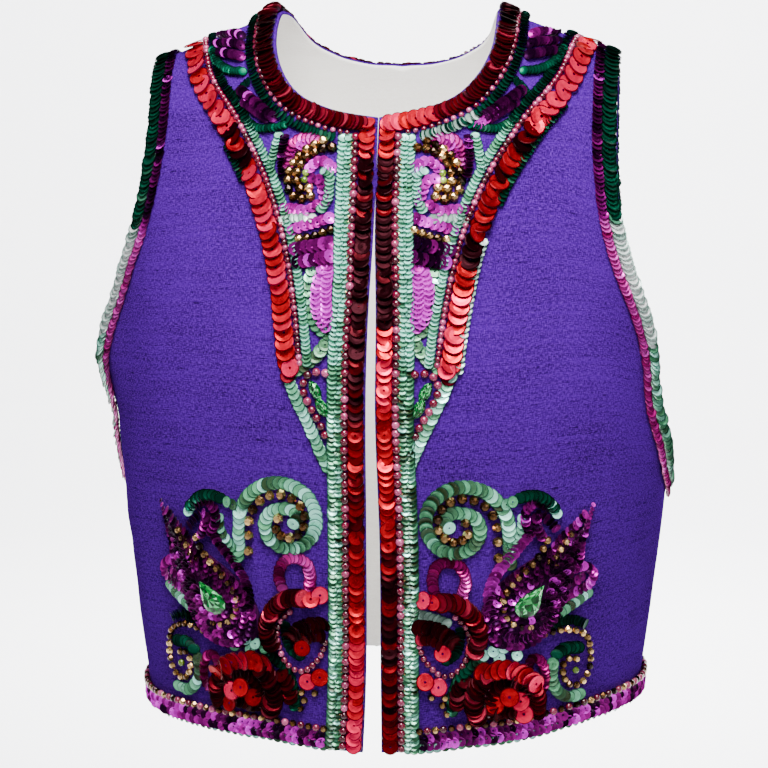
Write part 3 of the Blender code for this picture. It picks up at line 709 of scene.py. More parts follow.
def foil_face():
    """The face of a foil sequin: one of three colours by its painted light and tone, from a painted
    shaded colour through its middle one to a painted lit one, each a little its own.
    """
    tree, given, put = effect(
        "foil face",
        (
            ("Vector", ("Place",)),
            ("Float", ("Glow", "Own", "Rim", "Dullness")),
            ("Color", ("Edge", "Dark", "Middle", "Pale")),
        ),
        (("Color", ("Color",)), ("Float", ("Roughness", "Height"))),
    )
    scaled = partial(calculate, tree, "MULTIPLY_ADD")
    times = partial(calculate, tree, "MULTIPLY")
    take = given.outputs
    # Painted light and tone: low values give the painted shaded colour, high values the painted lit
    # one, with the sequin's own tone between
    lower = times(take["Glow"], 2.0)
    upper = calculate(tree, "MAXIMUM", scaled(take["Glow"], 2.0, -1.0), 0.0)
    colour = blended(tree, lower, take["Dark"], take["Middle"])
    colour = blended(tree, upper, colour, take["Pale"])
    # Random mottle darkens patches of each face toward the painted shaded colour, less on sequins
    # painted as lit
    mottle = noise(tree, take["Place"], MOTTLE_SCALE)
    share = scaled(mottle, MOTTLE_SHOWS, MOTTLE_SHIFT)
    share = times(share, scaled(upper, MOTTLE_LOST_IN_PAINTED_LIGHT, 1.0))
    colour = blended(tree, share, colour, take["Dark"])
    # Painted shade: the rim turns toward the colour of the shade between overlapping sequins
    colour = blended(tree, times(take["Rim"], SHADED_RIM_SHARE), colour, take["Edge"])
    tree.links.new(colour, put.inputs["Color"])
    rough = scaled(take["Own"], OWN_ROUGHNESS, times(mottle, MOTTLE_ROUGHNESS))
    rough = times(calculate(tree, "ADD", rough, LEAST_ROUGHNESS), take["Dullness"])
    tree.links.new(rough, put.inputs["Roughness"])
    tree.links.new(mottle, put.inputs["Height"])
    return tree


def finish_of(name, plain):
    """A new material, its tree and its Principled shader with the plain values set."""
    made = bpy.data.materials.new(name)
    made.use_nodes = True
    shader = made.node_tree.nodes["Principled BSDF"]
    for label, value in plain.items():
        shader.inputs[label].default_value = value
    return made, made.node_tree, shader


def object_place(tree):
    return tree.nodes.new("ShaderNodeTexCoord").outputs["Object"]


def surfaced(tree, shader, group, place, values, strength, distance):
    """Lays a node group's colour, roughness and raised grain on a shader, and gives its node."""
    node = tree.nodes.new("ShaderNodeGroup")
    node.node_tree = group
    for label, value in values.items():
        node.inputs[label].default_value = value
    tree.links.new(place, node.inputs["Place"])
    tree.links.new(node.outputs["Color"], shader.inputs["Base Color"])
    tree.links.new(node.outputs["Roughness"], shader.inputs["Roughness"])
    bump = tree.nodes.new("ShaderNodeBump")
    bump.inputs["Strength"].default_value = strength
    bump.inputs["Distance"].default_value = distance
    tree.links.new(node.outputs["Height"], bump.inputs["Height"])
    tree.links.new(bump.outputs["Normal"], shader.inputs["Normal"])
    return node


def woven(name, colours, strength, plain, along_cloth=True):
    """A silk from the colours of its ground, its thick threads and its shade."""
    made, tree, shader = finish_of(name, plain)
    if along_cloth:
        cloth_map = tree.nodes.new("ShaderNodeUVMap")
        cloth_map.uv_map = "weave"
        place = cloth_map.outputs["UV"]
    else:
        place = object_place(tree)
    colours = dict(zip(("Ground", "Slub", "Shade"), (linear(*c) for c in colours)))
    surfaced(tree, shader, WEAVE, place, colours, strength, THREAD_HEIGHT)
    return made


def foil(name, dullness, edge, dark, middle, pale, plain):
    made, tree, shader = finish_of(name, plain)
    # The edge colour is the painted shade on each sequin's rim
    colours = zip(("Edge", "Dark", "Middle", "Pale"), (edge, dark, middle, pale))
    values = {"Dullness": dullness, **{label: linear(*colour) for label, colour in colours}}
    place = object_place(tree)
    node = surfaced(tree, shader, FOIL, place, values, FOIL_GRAIN, FOIL_GRAIN_HEIGHT)
    # Each sequin's painted light and tone, its own share, and its painted shaded rim, read from its
    # attributes
    for label in ("Glow", "Own", "Rim"):
        reader = tree.nodes.new("ShaderNodeAttribute")
        reader.attribute_name = label.lower()
        tree.links.new(reader.outputs["Fac"], node.inputs[label])
    return made


# Heights of the raised threads and of the foil's grain in metres, and how strong the grain is
THREAD_HEIGHT = 0.0005
FOIL_GRAIN, FOIL_GRAIN_HEIGHT = 0.25, 0.0004
WEAVE = slubbed_weave()
FOIL = foil_face()
MATT = {"Specular IOR Level": 0.0}
LINED = {"Sheen Weight": 0.15, "Sheen Roughness": 0.4, "Specular IOR Level": 0.3}
SHINY = {"Metallic": 0.65, "Coat Weight": 0.0, "Specular IOR Level": 0.05}
PEARLY = {
    "Metallic": 0.45, "Coat Weight": 0.2, "Coat Roughness": 0.12, "Specular IOR Level": 0.3,
}
GLASSY = {"Metallic": 0.3, "Coat Weight": 0.8, "Coat Roughness": 0.04}
BRASSY = {"Metallic": 0.95, "Coat Weight": 0.3, "Coat Roughness": 0.04}
CUT_GLASS = {"Metallic": 0.5, "Coat Weight": 0.5, "Coat Roughness": 0.02}
SILK = woven("slubbed violet silk", ((53, 1, 104), (88, 31, 150), (18, 0, 44)), 0.5, MATT)
LINING = woven(
    "ivory lining silk", ((250, 247, 241), (255, 253, 250), (240, 235, 228)), 0.15, LINED
)
PADDING = woven(
    "plum padding cloth", ((44, 4, 44), (70, 18, 70), (20, 0, 20)), 0.3, MATT, along_cloth=False
)
EMERALD = foil(
    "emerald glass", 0.3, (0, 20, 6), (0, 34, 12), (0, 150, 56), (140, 255, 176), CUT_GLASS
)


# Making meshes

def linked(name, data):
    """A new object of a mesh, lamp or camera, in the scene."""
    made = bpy.data.objects.new(name, data)
    bpy.context.collection.objects.link(made)
    return made


def mesh_from(work, name):
    mesh = bpy.data.meshes.new(name)
    work.to_mesh(mesh)
    work.free()
    return mesh


def set_values(mesh, label, domain, values):
    """Gives each point or face of a mesh a number, or each a vector."""
    kind, field = ("FLOAT", "value") if values.ndim == 1 else ("FLOAT_VECTOR", "vector")
    layer = mesh.attributes.new(label, kind, domain)
    layer.data.foreach_set(field, values.astype(np.float32).ravel())


def spun(profile, steps, ring=False):
    """A body turned round the upright axis from a profile of radius and height."""
    work = bmesh.new()
    verts = [work.verts.new((radius, 0.0, height)) for radius, height in profile]
    ends = verts[1:] + verts[:1] if ring else verts[1:]
    edges = [work.edges.new(pair) for pair in zip(verts, ends)]
    bmesh.ops.spin(
        work, geom=verts + edges, cent=(0, 0, 0), axis=(0, 0, 1), dvec=(0, 0, 0),
        angle=2 * np.pi, steps=steps, use_merge=True, use_duplicate=False,
    )
    bmesh.ops.remove_doubles(work, verts=work.verts, dist=SPUN_MERGE)
    bmesh.ops.recalc_face_normals(work, faces=work.faces)
    return work


# Points nearer than this are merged: in a spun body, in units of its profile, and in cloth
SPUN_MERGE, CLOTH_MERGE = 0.0005, 0.00002


# Cloth

def cloth_sheet(name, face, sides):
    """A fine sheet of silk over one half panel, or over two that share the centre line."""
    work = bmesh.new()
    weave = work.verts.layers.float_vector.new("along the weave")
    for side in sides:
        grid = half_panel(face, side)
        points = form(face, grid[..., 0], grid[..., 1])
        steps = np.linalg.norm(np.diff(points, axis=0), axis=-1)
        up = np.vstack([np.zeros(grid.shape[1]), np.cumsum(steps, axis=0)])
        rows, columns = grid.shape[0] - 1, grid.shape[1] - 1
        made = bmesh.ops.create_grid(work, x_segments=columns, y_segments=rows, size=1.0)
        across = grid[..., 0] * QUARTER_ROUND
        places = np.stack([across, up, np.zeros_like(up)], axis=-1).reshape(-1, 3)
        for vert, point, place in zip(made["verts"], points.reshape(-1, 3), places):
            vert.co = point
            vert[weave] = place
    bmesh.ops.remove_doubles(work, verts=work.verts, dist=CLOTH_MERGE)
    bmesh.ops.recalc_face_normals(work, faces=work.faces)
    work.faces.ensure_lookup_table()
    work.normal_update()
    if sum(face * f.normal.y for f in work.faces) < 0:
        bmesh.ops.reverse_faces(work, faces=work.faces)
    uv = work.loops.layers.uv.new("weave")
    for quad in work.faces:
        quad.smooth = True
        for loop in quad.loops:
            loop[uv].uv = loop.vert[weave].xy
    mesh = mesh_from(work, name)
    mesh.materials.append(SILK)
    mesh.materials.append(LINING)
    made = linked(name, mesh)
    wall = made.modifiers.new("wall", "SOLIDIFY")
    wall.thickness = WALL
    wall.offset = -1.0
    wall.use_even_offset = True
    wall.material_offset = 1
    wall.material_offset_rim = 0
    return made


# Sequins, beads and crystals

def finished_shape(work, smooth, shaded_rim_from=1.0):
    """Ends one sequin or bead. Faces outside the given share of its radius form its rim, painted
    darker as the shade between overlapping sequins.
    """
    for side in work.faces:
        side.smooth = smooth
    rim = [side.calc_center_median().xy.length > shaded_rim_from for side in work.faces]
    mesh = mesh_from(work, "shape")
    set_values(mesh, "rim", "FACE", np.array(rim))
    if smooth:
        mesh.set_sharp_from_angle(angle=np.radians(SHARP_EDGE))
    return mesh


def round_bead(sides):
    work = bmesh.new()
    bmesh.ops.create_uvsphere(work, u_segments=sides, v_segments=BEAD_ROUNDS, radius=1.0)
    bmesh.ops.scale(work, vec=(1.0, 1.0, BEAD_FLATNESS), verts=work.verts)
    return finished_shape(work, True)


# The angle in degrees from which an edge of a smooth sequin or bead is sharp
SHARP_EDGE = 35
BEAD_ROUNDS, BEAD_FLATNESS = 6, 0.85
# Profiles of radius and height for a sequin or bead of one unit's radius
FLAT = ((1.0, -0.04), (0.90, 0.0), (0.55, -0.05), (0.14, -0.03), (0.14, -0.08), (1.0, -0.09))
CUP = ((0.0, -0.22), (0.84, -0.08), (1.0, -0.01), (0.97, -0.11), (0.0, -0.32))
EYED = ((1.0, 0.0), (0.80, -0.07), (0.50, -0.24), (0.2, -0.28), (0.2, -0.36), (0.97, -0.08))
FACETED = ((0.0, -0.80), (0.62, -0.62), (1.0, 0.0), (0.62, 0.62), (0.0, 0.80))
FOILS = (
    # name, dullness, and the colours of its painted shaded rim and of its painted light and tone:
    # dark (painted shade), middle, and pale (painted highlight)
    ("red foil", 1.0, (16, 0, 2), (24, 0, 4), (206, 0, 26), (255, 22, 90), SHINY),
    ("maroon foil", 1.0, (12, 0, 2), (40, 0, 7), (108, 0, 16), (205, 40, 74), SHINY),
    ("mint foil", 1.0, (0, 50, 42), (38, 54, 26), (92, 176, 126), (172, 255, 234), PEARLY),
    ("white foil", 1.0, (84, 124, 112), (122, 152, 138), (186, 214, 204), (255, 255, 255), PEARLY),
    ("dark green foil", 1.0, (0, 18, 13), (0, 40, 29), (0, 98, 70), (116, 205, 160), SHINY),
    ("magenta foil", 1.0, (28, 0, 32), (30, 0, 32), (168, 0, 146), (252, 36, 250), SHINY),
    ("hot pink foil", 1.0, (58, 0, 28), (66, 0, 32), (204, 0, 144), (255, 84, 226), SHINY),
    ("bronze glass", 0.35, (22, 10, 3), (34, 17, 6), (112, 71, 29), (255, 208, 134), BRASSY),
    ("cranberry glass", 0.5, (44, 0, 12), (60, 0, 18), (118, 3, 46), (196, 84, 132), GLASSY),
    ("lime glass", 0.5, (30, 46, 3), (40, 64, 4), (106, 138, 24), (190, 215, 100), GLASSY),
)
SEQUINS = (
    # kind, profile, sides, where its painted shaded rim starts, finish, slot
    ("red", FLAT, 16, 0.9, "red foil", "red_sequins"),
    ("maroon", FLAT, 12, 0.9, "maroon foil", "maroon_sequins"),
    ("mint", CUP, 12, 0.87, "mint foil", "mint_sequins"),
    ("white", CUP, 10, 0.87, "white foil", "mint_sequins"),
    ("flat mint", FLAT, 14, 0.9, "mint foil", "mint_sequins"),
    ("green", CUP, 10, 0.87, "dark green foil", "green_sequins"),
    ("magenta", EYED, 10, 0.86, "magenta foil", "magenta_sequins"),
    ("pink", CUP, 10, 0.87, "hot pink foil", "magenta_sequins"),
    ("bronze", FACETED, 7, 1.0, "bronze glass", "bronze_beads"),
)
# Round beads: kind, sides, finish, slot
ROUND_BEADS = (
    ("cranberry", 10, "cranberry glass", "maroon_sequins"),
    ("lime", 8, "lime glass", "crystals"),
)
BEADS = ("bronze", "cranberry", "lime")
# How much more loosely than the others a kind hangs
LOOSENESS = {"red": 2.4, "maroon": 1.8}
# The share of a kind painted at full light as glints, a painted highlight, wherever it lies
PAINTED_GLINTS = {"magenta": 0.05, "mint": 0.06, "maroon": 0.05, "flat mint": 0.08}
# Strays of a sequin's size, and of its tilt and lean in degrees
SIZE_STRAY, TILT_STRAY, LEAN_STRAY = 0.025, 3.0, 4.0


def kinds_of_shape():
    """Each kind of sequin or bead: its shape, finish and material slot."""
    finishes = {name: foil(name, *rest) for name, *rest in FOILS}
    kinds = {}
    for kind, profile, sides, shaded_rim_from, finish, slot in SEQUINS:
        work = spun(profile, sides, ring=profile[0][0] > 0)
        shape = finished_shape(work, profile in (CUP, EYED), shaded_rim_from)
        kinds[kind] = (shape, finishes[finish], slot)
    for kind, sides, finish, slot in ROUND_BEADS:
        kinds[kind] = (round_bead(sides), finishes[finish], slot)
    return kinds


def sewing_tree():
    """Geometry nodes that set a shape on each point, turned and sized by its attributes."""
    tree = bpy.data.node_groups.new("sew on", "GeometryNodeTree")
    for label, way, kind in (
        ("Geometry", "INPUT", "Geometry"), ("Shape", "INPUT", "Object"),
        ("Geometry", "OUTPUT", "Geometry"),
    ):
        tree.interface.new_socket(label, in_out=way, socket_type=f"NodeSocket{kind}")
    given, put, shape, sew, real, turn = (
        tree.nodes.new(kind)
        for kind in (
            "NodeGroupInput", "NodeGroupOutput", "GeometryNodeObjectInfo",
            "GeometryNodeInstanceOnPoints", "GeometryNodeRealizeInstances",
            "FunctionNodeEulerToRotation",
        )
    )
    link = tree.links.new
    link(given.outputs["Geometry"], sew.inputs["Points"])
    link(given.outputs["Shape"], shape.inputs["Object"])
    link(shape.outputs["Geometry"], sew.inputs["Instance"])
    for attribute, socket in (("turn", turn.inputs[0]), ("size", sew.inputs["Scale"])):
        reader = tree.nodes.new("GeometryNodeInputNamedAttribute")
        reader.data_type = "FLOAT_VECTOR"
        reader.inputs["Name"].default_value = attribute
        link(reader.outputs["Attribute"], socket)
    link(turn.outputs[0], sew.inputs["Rotation"])
    link(sew.outputs["Instances"], real.inputs["Geometry"])
    link(real.outputs["Geometry"], put.inputs["Geometry"])
    return tree


def turned_by(ahead, aside, angle):
    """Two square directions turned by an angle, the first toward the second."""
    angle = angle[:, None]
    return (
        ahead * np.cos(angle) + aside * np.sin(angle), aside * np.cos(angle) - ahead * np.sin(angle)
    )


def stitched(kind, node, points, normals, along, size, tilt, lean, glow, stray, lift=0.0):
    """Keeps places for sequins or beads of a kind, lying on the cloth at the points. Each is
    tilted back along its row by tilt and leaned over sideways by lean, in degrees."""
    count = len(points)
    loose = LOOSENESS.get(kind, 1.0)
    size = np.broadcast_to(size, count) * (1 + chance.normal(0, SIZE_STRAY, count))
    back = np.radians(np.broadcast_to(tilt, count) + chance.normal(0, TILT_STRAY * loose, count))
    over = np.radians(np.broadcast_to(lean, count) + chance.normal(0, LEAN_STRAY * loose, count))
    ahead = unit(along - normals * (along * normals).sum(-1, keepdims=True))
    beside_it = np.cross(normals, ahead)
    facing, ahead = turned_by(normals, ahead, back)
    facing, beside_it = turned_by(facing, beside_it, over)
    rise = size / 2 * np.maximum(np.abs(np.sin(back)), np.abs(np.sin(over))) + lift
    euler = np.stack(
        [
            np.arctan2(beside_it[:, 2], facing[:, 2]),
            -np.arcsin(np.clip(ahead[:, 2], -1, 1)),
            np.arctan2(ahead[:, 1], ahead[:, 0]),
        ],
        axis=-1,
    )
    own = chance.random(count)
    # Each sequin's painted light and tone strays at random from its row's value
    glow = np.clip(np.broadcast_to(glow, count) + chance.normal(0, stray, count), 0, 1)
    # Painted highlight: a random share of sequins is set to the palest colour
    glow = np.where(chance.random(count) < PAINTED_GLINTS.get(kind, 0.0), 1.0, glow)
    places = points + normals * rise[:, None]
    WORK.setdefault((node, kind), []).append((places, euler, size / 2, glow, own))


def sew_all_on(kinds):
    """Makes one joined mesh of each kind on each solid, and gives them by the solid's name."""
    tree = sewing_tree()
    shape_socket = next(i.identifier for i in tree.interface.items_tree if i.name == "Shape")
    shapes = {}
    for kind, (mesh, finish, _) in kinds.items():
        mesh.materials.append(finish)
        shapes[kind] = linked(f"one of {kind}", mesh)
    made = {}
    for (node, kind), rows in WORK.items():
        places, turns, radii, glow, own = (np.concatenate(column) for column in zip(*rows))
        work = bmesh.new()
        for place in places:
            work.verts.new(place)
        mesh = mesh_from(work, "places")
        sizes = np.repeat(radii[:, None], 3, axis=1)
        for label, values in (("turn", turns), ("size", sizes), ("glow", glow), ("own", own)):
            set_values(mesh, label, "POINT", values)
        family = "beads" if kind in BEADS else "sequins"
        piece = linked(f"{node}_{kind}_{family}".replace(" ", "_"), mesh)
        sew = piece.modifiers.new("sew on", "NODES")
        sew.node_group = tree
        sew[shape_socket] = shapes[kind]
        made.setdefault(node, []).append((piece, kinds[kind][2]))
    bpy.context.view_layer.update()
    ready = bpy.context.evaluated_depsgraph_get()
    for piece, _ in (pair for pieces in made.values() for pair in pieces):
        joined = bpy.data.meshes.new_from_object(
            piece.evaluated_get(ready), preserve_all_data_layers=True, depsgraph=ready
        )
        joined.name = piece.name
        for label in ("turn", "size"):
            if label in joined.attributes:
                joined.attributes.remove(joined.attributes[label])
        piece.modifiers.clear()
        piece.data = joined
    for shape in shapes.values():
        bpy.data.objects.remove(shape, do_unlink=True)
    return made


# Rows

def spaced(face, route, step, before, after, closed):
    """A route in even steps along the cloth, from before its start to after its end."""
    lengths = lengths_along(face, route)
    count = max(2, int(round((lengths[-1] - before - after) / step)) + 1)
    wanted = np.linspace(before, lengths[-1] - after, count)
    return at_lengths(route, lengths, wanted[:-1] if closed else wanted)


def on_cloth(face, side, route, step, distance, before, after, closed=False):
    """Points, outward directions and directions along a row beside a route."""
    if closed:
        route = np.vstack([route, route[:1]])
    spots = spaced(face, route, step, before, after, closed)
    spots = walk(face, spots, beside(face, side, spots, closed), distance)
    points = form(face, *spots.T)
    return points, outward(face, *spots.T), directions(points, closed)


def sew_row(kind, node, face, side, route, size, step, distance, tilt, glow, stray, lift=0,
            before=0, after=0, lean=0, closed=False):
    """Sews a row beside a route, in millimetres and degrees. A pair of sizes tapers it. Its painted
    light and tone is one value, a list along the row, or pairs of height in metres and value."""
    step, distance, lift, before, after = (
        value / 1000 for value in (step, distance, lift, before, after)
    )
    size = np.array(size) / 1000
    points, normals, along = on_cloth(face, side, route, step, distance, before, after, closed)
    share = np.linspace(0, 1, len(points))
    if isinstance(glow, tuple):
        glow = np.interp(points[:, 2], *zip(*glow))
    elif isinstance(glow, list):
        glow = np.interp(share, np.linspace(0, 1, len(glow)), glow)
    if size.size > 1:
        size = np.interp(share, (0, 1), size)
    stitched(kind, node, points, normals, along, size, tilt, lean, glow, stray, TRIM_LIFT + lift)


def sew_rows(node, face, side, rows):
    """Sews rows given by kind, route, size, step, distance from the route, tilt, painted light and
    tone, how much it strays, lift, what is left free before and after, and lean."""
    for kind, route, *rest in rows:
        sew_row(kind, node, face, side, route, *rest)


def on_front(places, side):
    """A smooth route over a front through places given for either side."""
    return smooth_route(mirrored(shifted(places, side), side), MOTIF_BEND_STEPS)


def parted(face, route, axis, value):
    """The parts of a route before and after it passes a distance (axis 0) or a height (2)."""
    places = np.abs(form(face, *route.T)[:, axis])
    if axis == 2:
        places = -places
    at = int(np.argmax(places > value))
    return route[: at + 1], route[at:]


# Painted light and tone along a row: height, value. Low values paint sequins in shade, high
# ones lit with painted highlights; in the mint rows they carry the sequins' own tones too.
FRONT_REDS = {
    RIGHT: (
        (-0.44, 0.95), (-0.425, 0.9), (-0.41, 0.62), (-0.38, 0.72), (-0.37, 0.5), (-0.33, 0.22),
        (-0.25, 0.12), (-0.20, -0.02), (-0.15, -0.06),
    ),
    LEFT: (
        (-0.44, 0.4), (-0.43, 0.08), (-0.36, 0.02), (-0.31, 0.04), (-0.297, 0.4), (-0.25, 0.45),
        (-0.243, 0.16), (-0.234, 0.2), (-0.226, 0.6), (-0.206, 0.75), (-0.198, 0.5),
        (-0.184, 0.45), (-0.181, 0.0), (-0.15, -0.06),
    ),
}
REDS_AT_NECK = ((-0.088, -0.06), (-0.083, 0.55), (-0.06, 0.7))
FRONT_MINTS = {
    RIGHT: (
        (-0.44, 0.25), (-0.39, 0.3), (-0.385, 0.65), (-0.365, 0.65), (-0.355, 0.5), (-0.27, 0.52),
    ),
    LEFT: (
        (-0.44, 0.6), (-0.40, 0.55), (-0.395, 0.15), (-0.375, 0.5), (-0.358, 0.8), (-0.352, 0.12),
        (-0.272, 0.12), (-0.268, 0.8), (-0.262, 0.8), (-0.258, 0.16), (-0.225, 0.2),
    ),
}
MINTS_AT_NECK = ((-0.21, 0.4), (-0.20, 0.85), (-0.14, 1.0), (-0.08, 0.95))
NECK_MAROONS = ((-0.065, 0.62), (-0.05, 0.42), (-0.03, 0.28), (0.0, 0.24))
NECK_GREENS = ((-0.09, 0.65), (-0.073, 0.40), (-0.06, 0.18), (0.0, 0.12))
YOKE_REDS = {
    RIGHT: (
        (-0.222, 0.8), (-0.212, 0.45), (-0.17, 0.62), (-0.13, 0.66), (-0.098, 0.66),
        (-0.092, 0.10), (-0.080, 0.05), (0.0, 0.2),
    ),
    LEFT: (
        (-0.21, 0.72), (-0.17, 0.62), (-0.155, 0.16), (-0.098, 0.10), (-0.09, 0.3),
        (-0.085, 0.06), (0.0, 0.10),
    ),
}
YOKE_MINTS = ((-0.21, 0.72), (-0.17, 0.85), (-0.12, 0.7), (-0.08, 0.75))

# Heights where the armhole's rows turn from mint to white, and from white to green
ARMHOLE_PALE, ARMHOLE_TURNING = -0.195, {RIGHT: -0.130, LEFT: -0.122}
# Heights where the yoke's reds grow large, where its mint turns to green, where the left
# one's white row ends, and the bottom and top of the green row beside it
YOKE_LARGE, YOKE_GREEN, YOKE_WHITE = -0.070, -0.075, -0.135
YOKE_SIDE_ROW = {RIGHT: (-0.098, -0.080), LEFT: (-0.112, -0.055)}
# Distances from the centre line where the left neck's red and white rows end, and how far
# along the neckline the maroon row starts, in millimetres
NECK_RED_ENDS, NECK_WHITE_ENDS = 0.030, 0.046
NECK_MAROON_STARTS = {RIGHT: 8, LEFT: 34}
# How far below the neck the front edge's red row ends, and how far up past the neck band's
# lower edge its beads and mint rows go
REDS_BELOW_NECK, BEADS_PAST_BAND = 0.004, 0.0085
# Beads along the hem's top: size, step, distance, what is left free at the ends, rise
HEM_BEAD, HEM_BEAD_STEP, HEM_BEAD_DISTANCE = 0.0048, 0.0048, -0.0136
HEM_BEAD_ENDS, HEM_BEAD_RISE = 0.002, 0.0020


def sew_edges(side):
    """The sequins and beads of the front edge, neck, armholes and hem of one side."""
    hand = SIDE_NAMES[side]
    top = NECK_FOOT[FRONT] - NECK_BAND_WIDTH - CORNER_GAP
    foot = hem_height_from_edge(side, FRONT_BAND_WIDTH) + EDGE_MARGIN
    edge = front_edge(side, foot, NECK_FOOT[FRONT] - REDS_BELOW_NECK)
    tall = front_edge(side, foot, top + BEADS_PAST_BAND)
    mints = FRONT_MINTS[side] + MINTS_AT_NECK
    sew_rows(f"front_band_{hand}", FRONT, side, (
        ("red", edge, 10.0, 4.3, 5.6, 18, FRONT_REDS[side] + REDS_AT_NECK, 0.09, 0, 3),
        ("cranberry", tall, 5.1, 4.9, 12.5, 0, 0.36, 0.28, 1.4, 2),
        ("bronze", tall, 1.5, 3.4, 14.8, 0, 0.7, 0.2, 1.6, 2),
        ("mint", tall, 6.6, 2.7, 16.5, 26, mints, 0.2, 0, 2, 0, side * -8),
        ("mint", tall, 6.6, 2.7, 20.4, 26, mints, 0.2, 0, 2, 0, side * 8),
    ))

    collar = neckline(FRONT, side)
    start = NECK_MAROON_STARTS[side]
    rows = [
        ("maroon", collar, (9.8, 13.0), 2.3, 6.0, 30, NECK_MAROONS, 0.14, 0, start, 2),
        ("cranberry", collar, (3.4, 4.4), 4.0, 12.2, 0, 0.5, 0.3, 1, 15, 1),
        ("green", collar, 6.2, 2.1, 16.4, 36, NECK_GREENS, 0.14, 0, 22, 1),
    ]
    if side == LEFT:
        lit, _ = parted(FRONT, collar, 0, NECK_RED_ENDS)
        ends, _ = parted(FRONT, collar, 0, NECK_WHITE_ENDS)
        rows.insert(0, ("red", lit, 11.2, 4.8, 6.0, 26, 0.54, 0.26, 1, 6))
        rows.append(("white", ends, 6.8, 3.0, 16.8, 28, 0.3, 0.35, 0.6, 22))
    sew_rows(f"neck_band_{hand}", FRONT, side, rows)

    turning = ARMHOLE_TURNING[side]
    # Painted light and tone along the armhole's outer rows, and along its plum rows below
    armhole_painted_light_and_tone = (
        (-0.29, 0.5), (-0.24, 0.42), (-0.20, 0.8), (turning, 1.0), (turning + 0.001, 0.5),
        (-0.095, 0.3), (-0.075, 0.25), (0.0, 0.18),
    )
    plums = (
        (-0.28, 0.5), (-0.20, 0.7), (turning, 0.95), (turning + 0.001, 0.3),
        (turning + 0.015, 0.1), (0.0, 0.05),
    )
    for face, where in ((FRONT, "front"), (BACK, "back")):
        low, high = parted(face, armhole(face, side), 2, turning)
        lower, pale = parted(face, low, 2, ARMHOLE_PALE)
        sew_rows(f"armhole_band_{where}_{hand}", face, side, (
            ("mint", lower, 10.0, 2.9, -5.2, 24, armhole_painted_light_and_tone, 0.24, 0, 3),
            ("white", pale, 10.0, 2.9, -5.2, 24, 0.95, 0.2),
            ("green", high, 10.4, 2.7, -5.0, 18, armhole_painted_light_and_tone, 0.14, 0, 0, 1),
            ("pink", low, 7.0, 2.5, -12.6, 24, plums, 0.14, 0, 2),
            ("magenta", high, 6.8, 2.4, -12.2, 20, plums, 0.14, 0, 0, 1),
        ))

    clear = front_edge_distance(side, foot) + FRONT_BAND_WIDTH + CORNER_GAP
    turn_up = hem(FRONT, side, float(at_distance(clear, foot)[0]))
    sew_hem(f"hem_band_{hand}", FRONT, side, turn_up)


def sew_hem(node, face, side, turn_up):
    sew_rows(node, face, side, (
        ("mint", turn_up, 6.4, 4.8, -2.2, 12, 0.42, 0.3, 0, 2, 2),
        ("magenta", turn_up, 7.0, 3.7, -4.6, -26, 0.42, 0.42, 0.4, 3, 2),
        ("magenta", turn_up, 6.6, 3.7, -9.0, -26, 0.36, 0.42, 0.4, 4, 3),
    ))
    # Bronze and cranberry beads by turns along the top
    points, normals, along = on_cloth(
        face, side, turn_up, HEM_BEAD_STEP, HEM_BEAD_DISTANCE, HEM_BEAD_ENDS, HEM_BEAD_ENDS
    )
    points = points + normals * HEM_BEAD_RISE
    for kind, start in (("bronze", 0), ("cranberry", 1)):
        row = (values[start::2] for values in (points, normals, along))
        stitched(kind, node, *row, size=HEM_BEAD, tilt=0, lean=0, glow=0.5, stray=0.3)


def sew_back():
    collar = np.vstack([neckline(BACK, RIGHT)[::-1], neckline(BACK, LEFT)[1:]])
    sew_rows("neck_band_back", BACK, LEFT, (
        ("maroon", collar, 11.0, 2.4, 5.8, 24, 0.15, 0.14, 0, 2, 2),
        ("cranberry", collar, 3.0, 3.1, 11.7, 0, 0.45, 0.3, 1, 1, 1),
        ("green", collar, 5.2, 2.1, 15.8, 32, 0.2, 0.14, 0, 1, 1),
    ))
    turn_up = np.vstack([hem(BACK, RIGHT)[::-1], hem(BACK, LEFT)[1:]])
    sew_hem("hem_band_back", BACK, LEFT, turn_up)


def sew_yoke(side):
    shoulder = [(YOKE_AT_SHOULDER, float(shoulder_height(YOKE_AT_SHOULDER)))]
    line = np.vstack([mirrored(YOKE_LINE[::-1], side), mirrored(shoulder, side)])
    line = smooth_route(line)
    under, over = parted(FRONT, line, 2, YOKE_LARGE)
    low, high = parted(FRONT, line, 2, YOKE_GREEN)
    bottom, top = YOKE_SIDE_ROW[side]
    _, outer = parted(FRONT, line, 2, bottom)
    outer, _ = parted(FRONT, outer, 2, top)
    rows = [
        ("red", under, 12.4, 5.4, 0.2, 18, YOKE_REDS[side], 0.2, 0, 3, 3),
        ("red", over, 13.4, 7.2, 0, 6, 0.78, 0.2, 1, 0, 3),
        ("cranberry", line, 3.9, 3.5, -7.4, 0, 0.5, 0.3, 1, 1, 1),
        ("mint", low, 6.0, 2.4, -12.2, 32, YOKE_MINTS, 0.2, 0, 1),
        ("green", high, 6.0, 2.1, -12.2, 34, 0.2, 0.14, 0, 0, 1),
        ("green", outer, 5.2, 2.6, 5.8, 34, 0.35, 0.2),
    ]
    if side == LEFT:
        outer, _ = parted(FRONT, line, 2, YOKE_WHITE)
        rows.append(("white", outer, 5.8, 3.4, 5.0, 24, 0.5, 0.2))
    sew_rows(f"yoke_band_{SIDE_NAMES[side]}", FRONT, side, rows)


SCROLL_EYE = tuple(tuple((scroll_places()[-1] + step) * 1000) for step in EYE_STEPS)
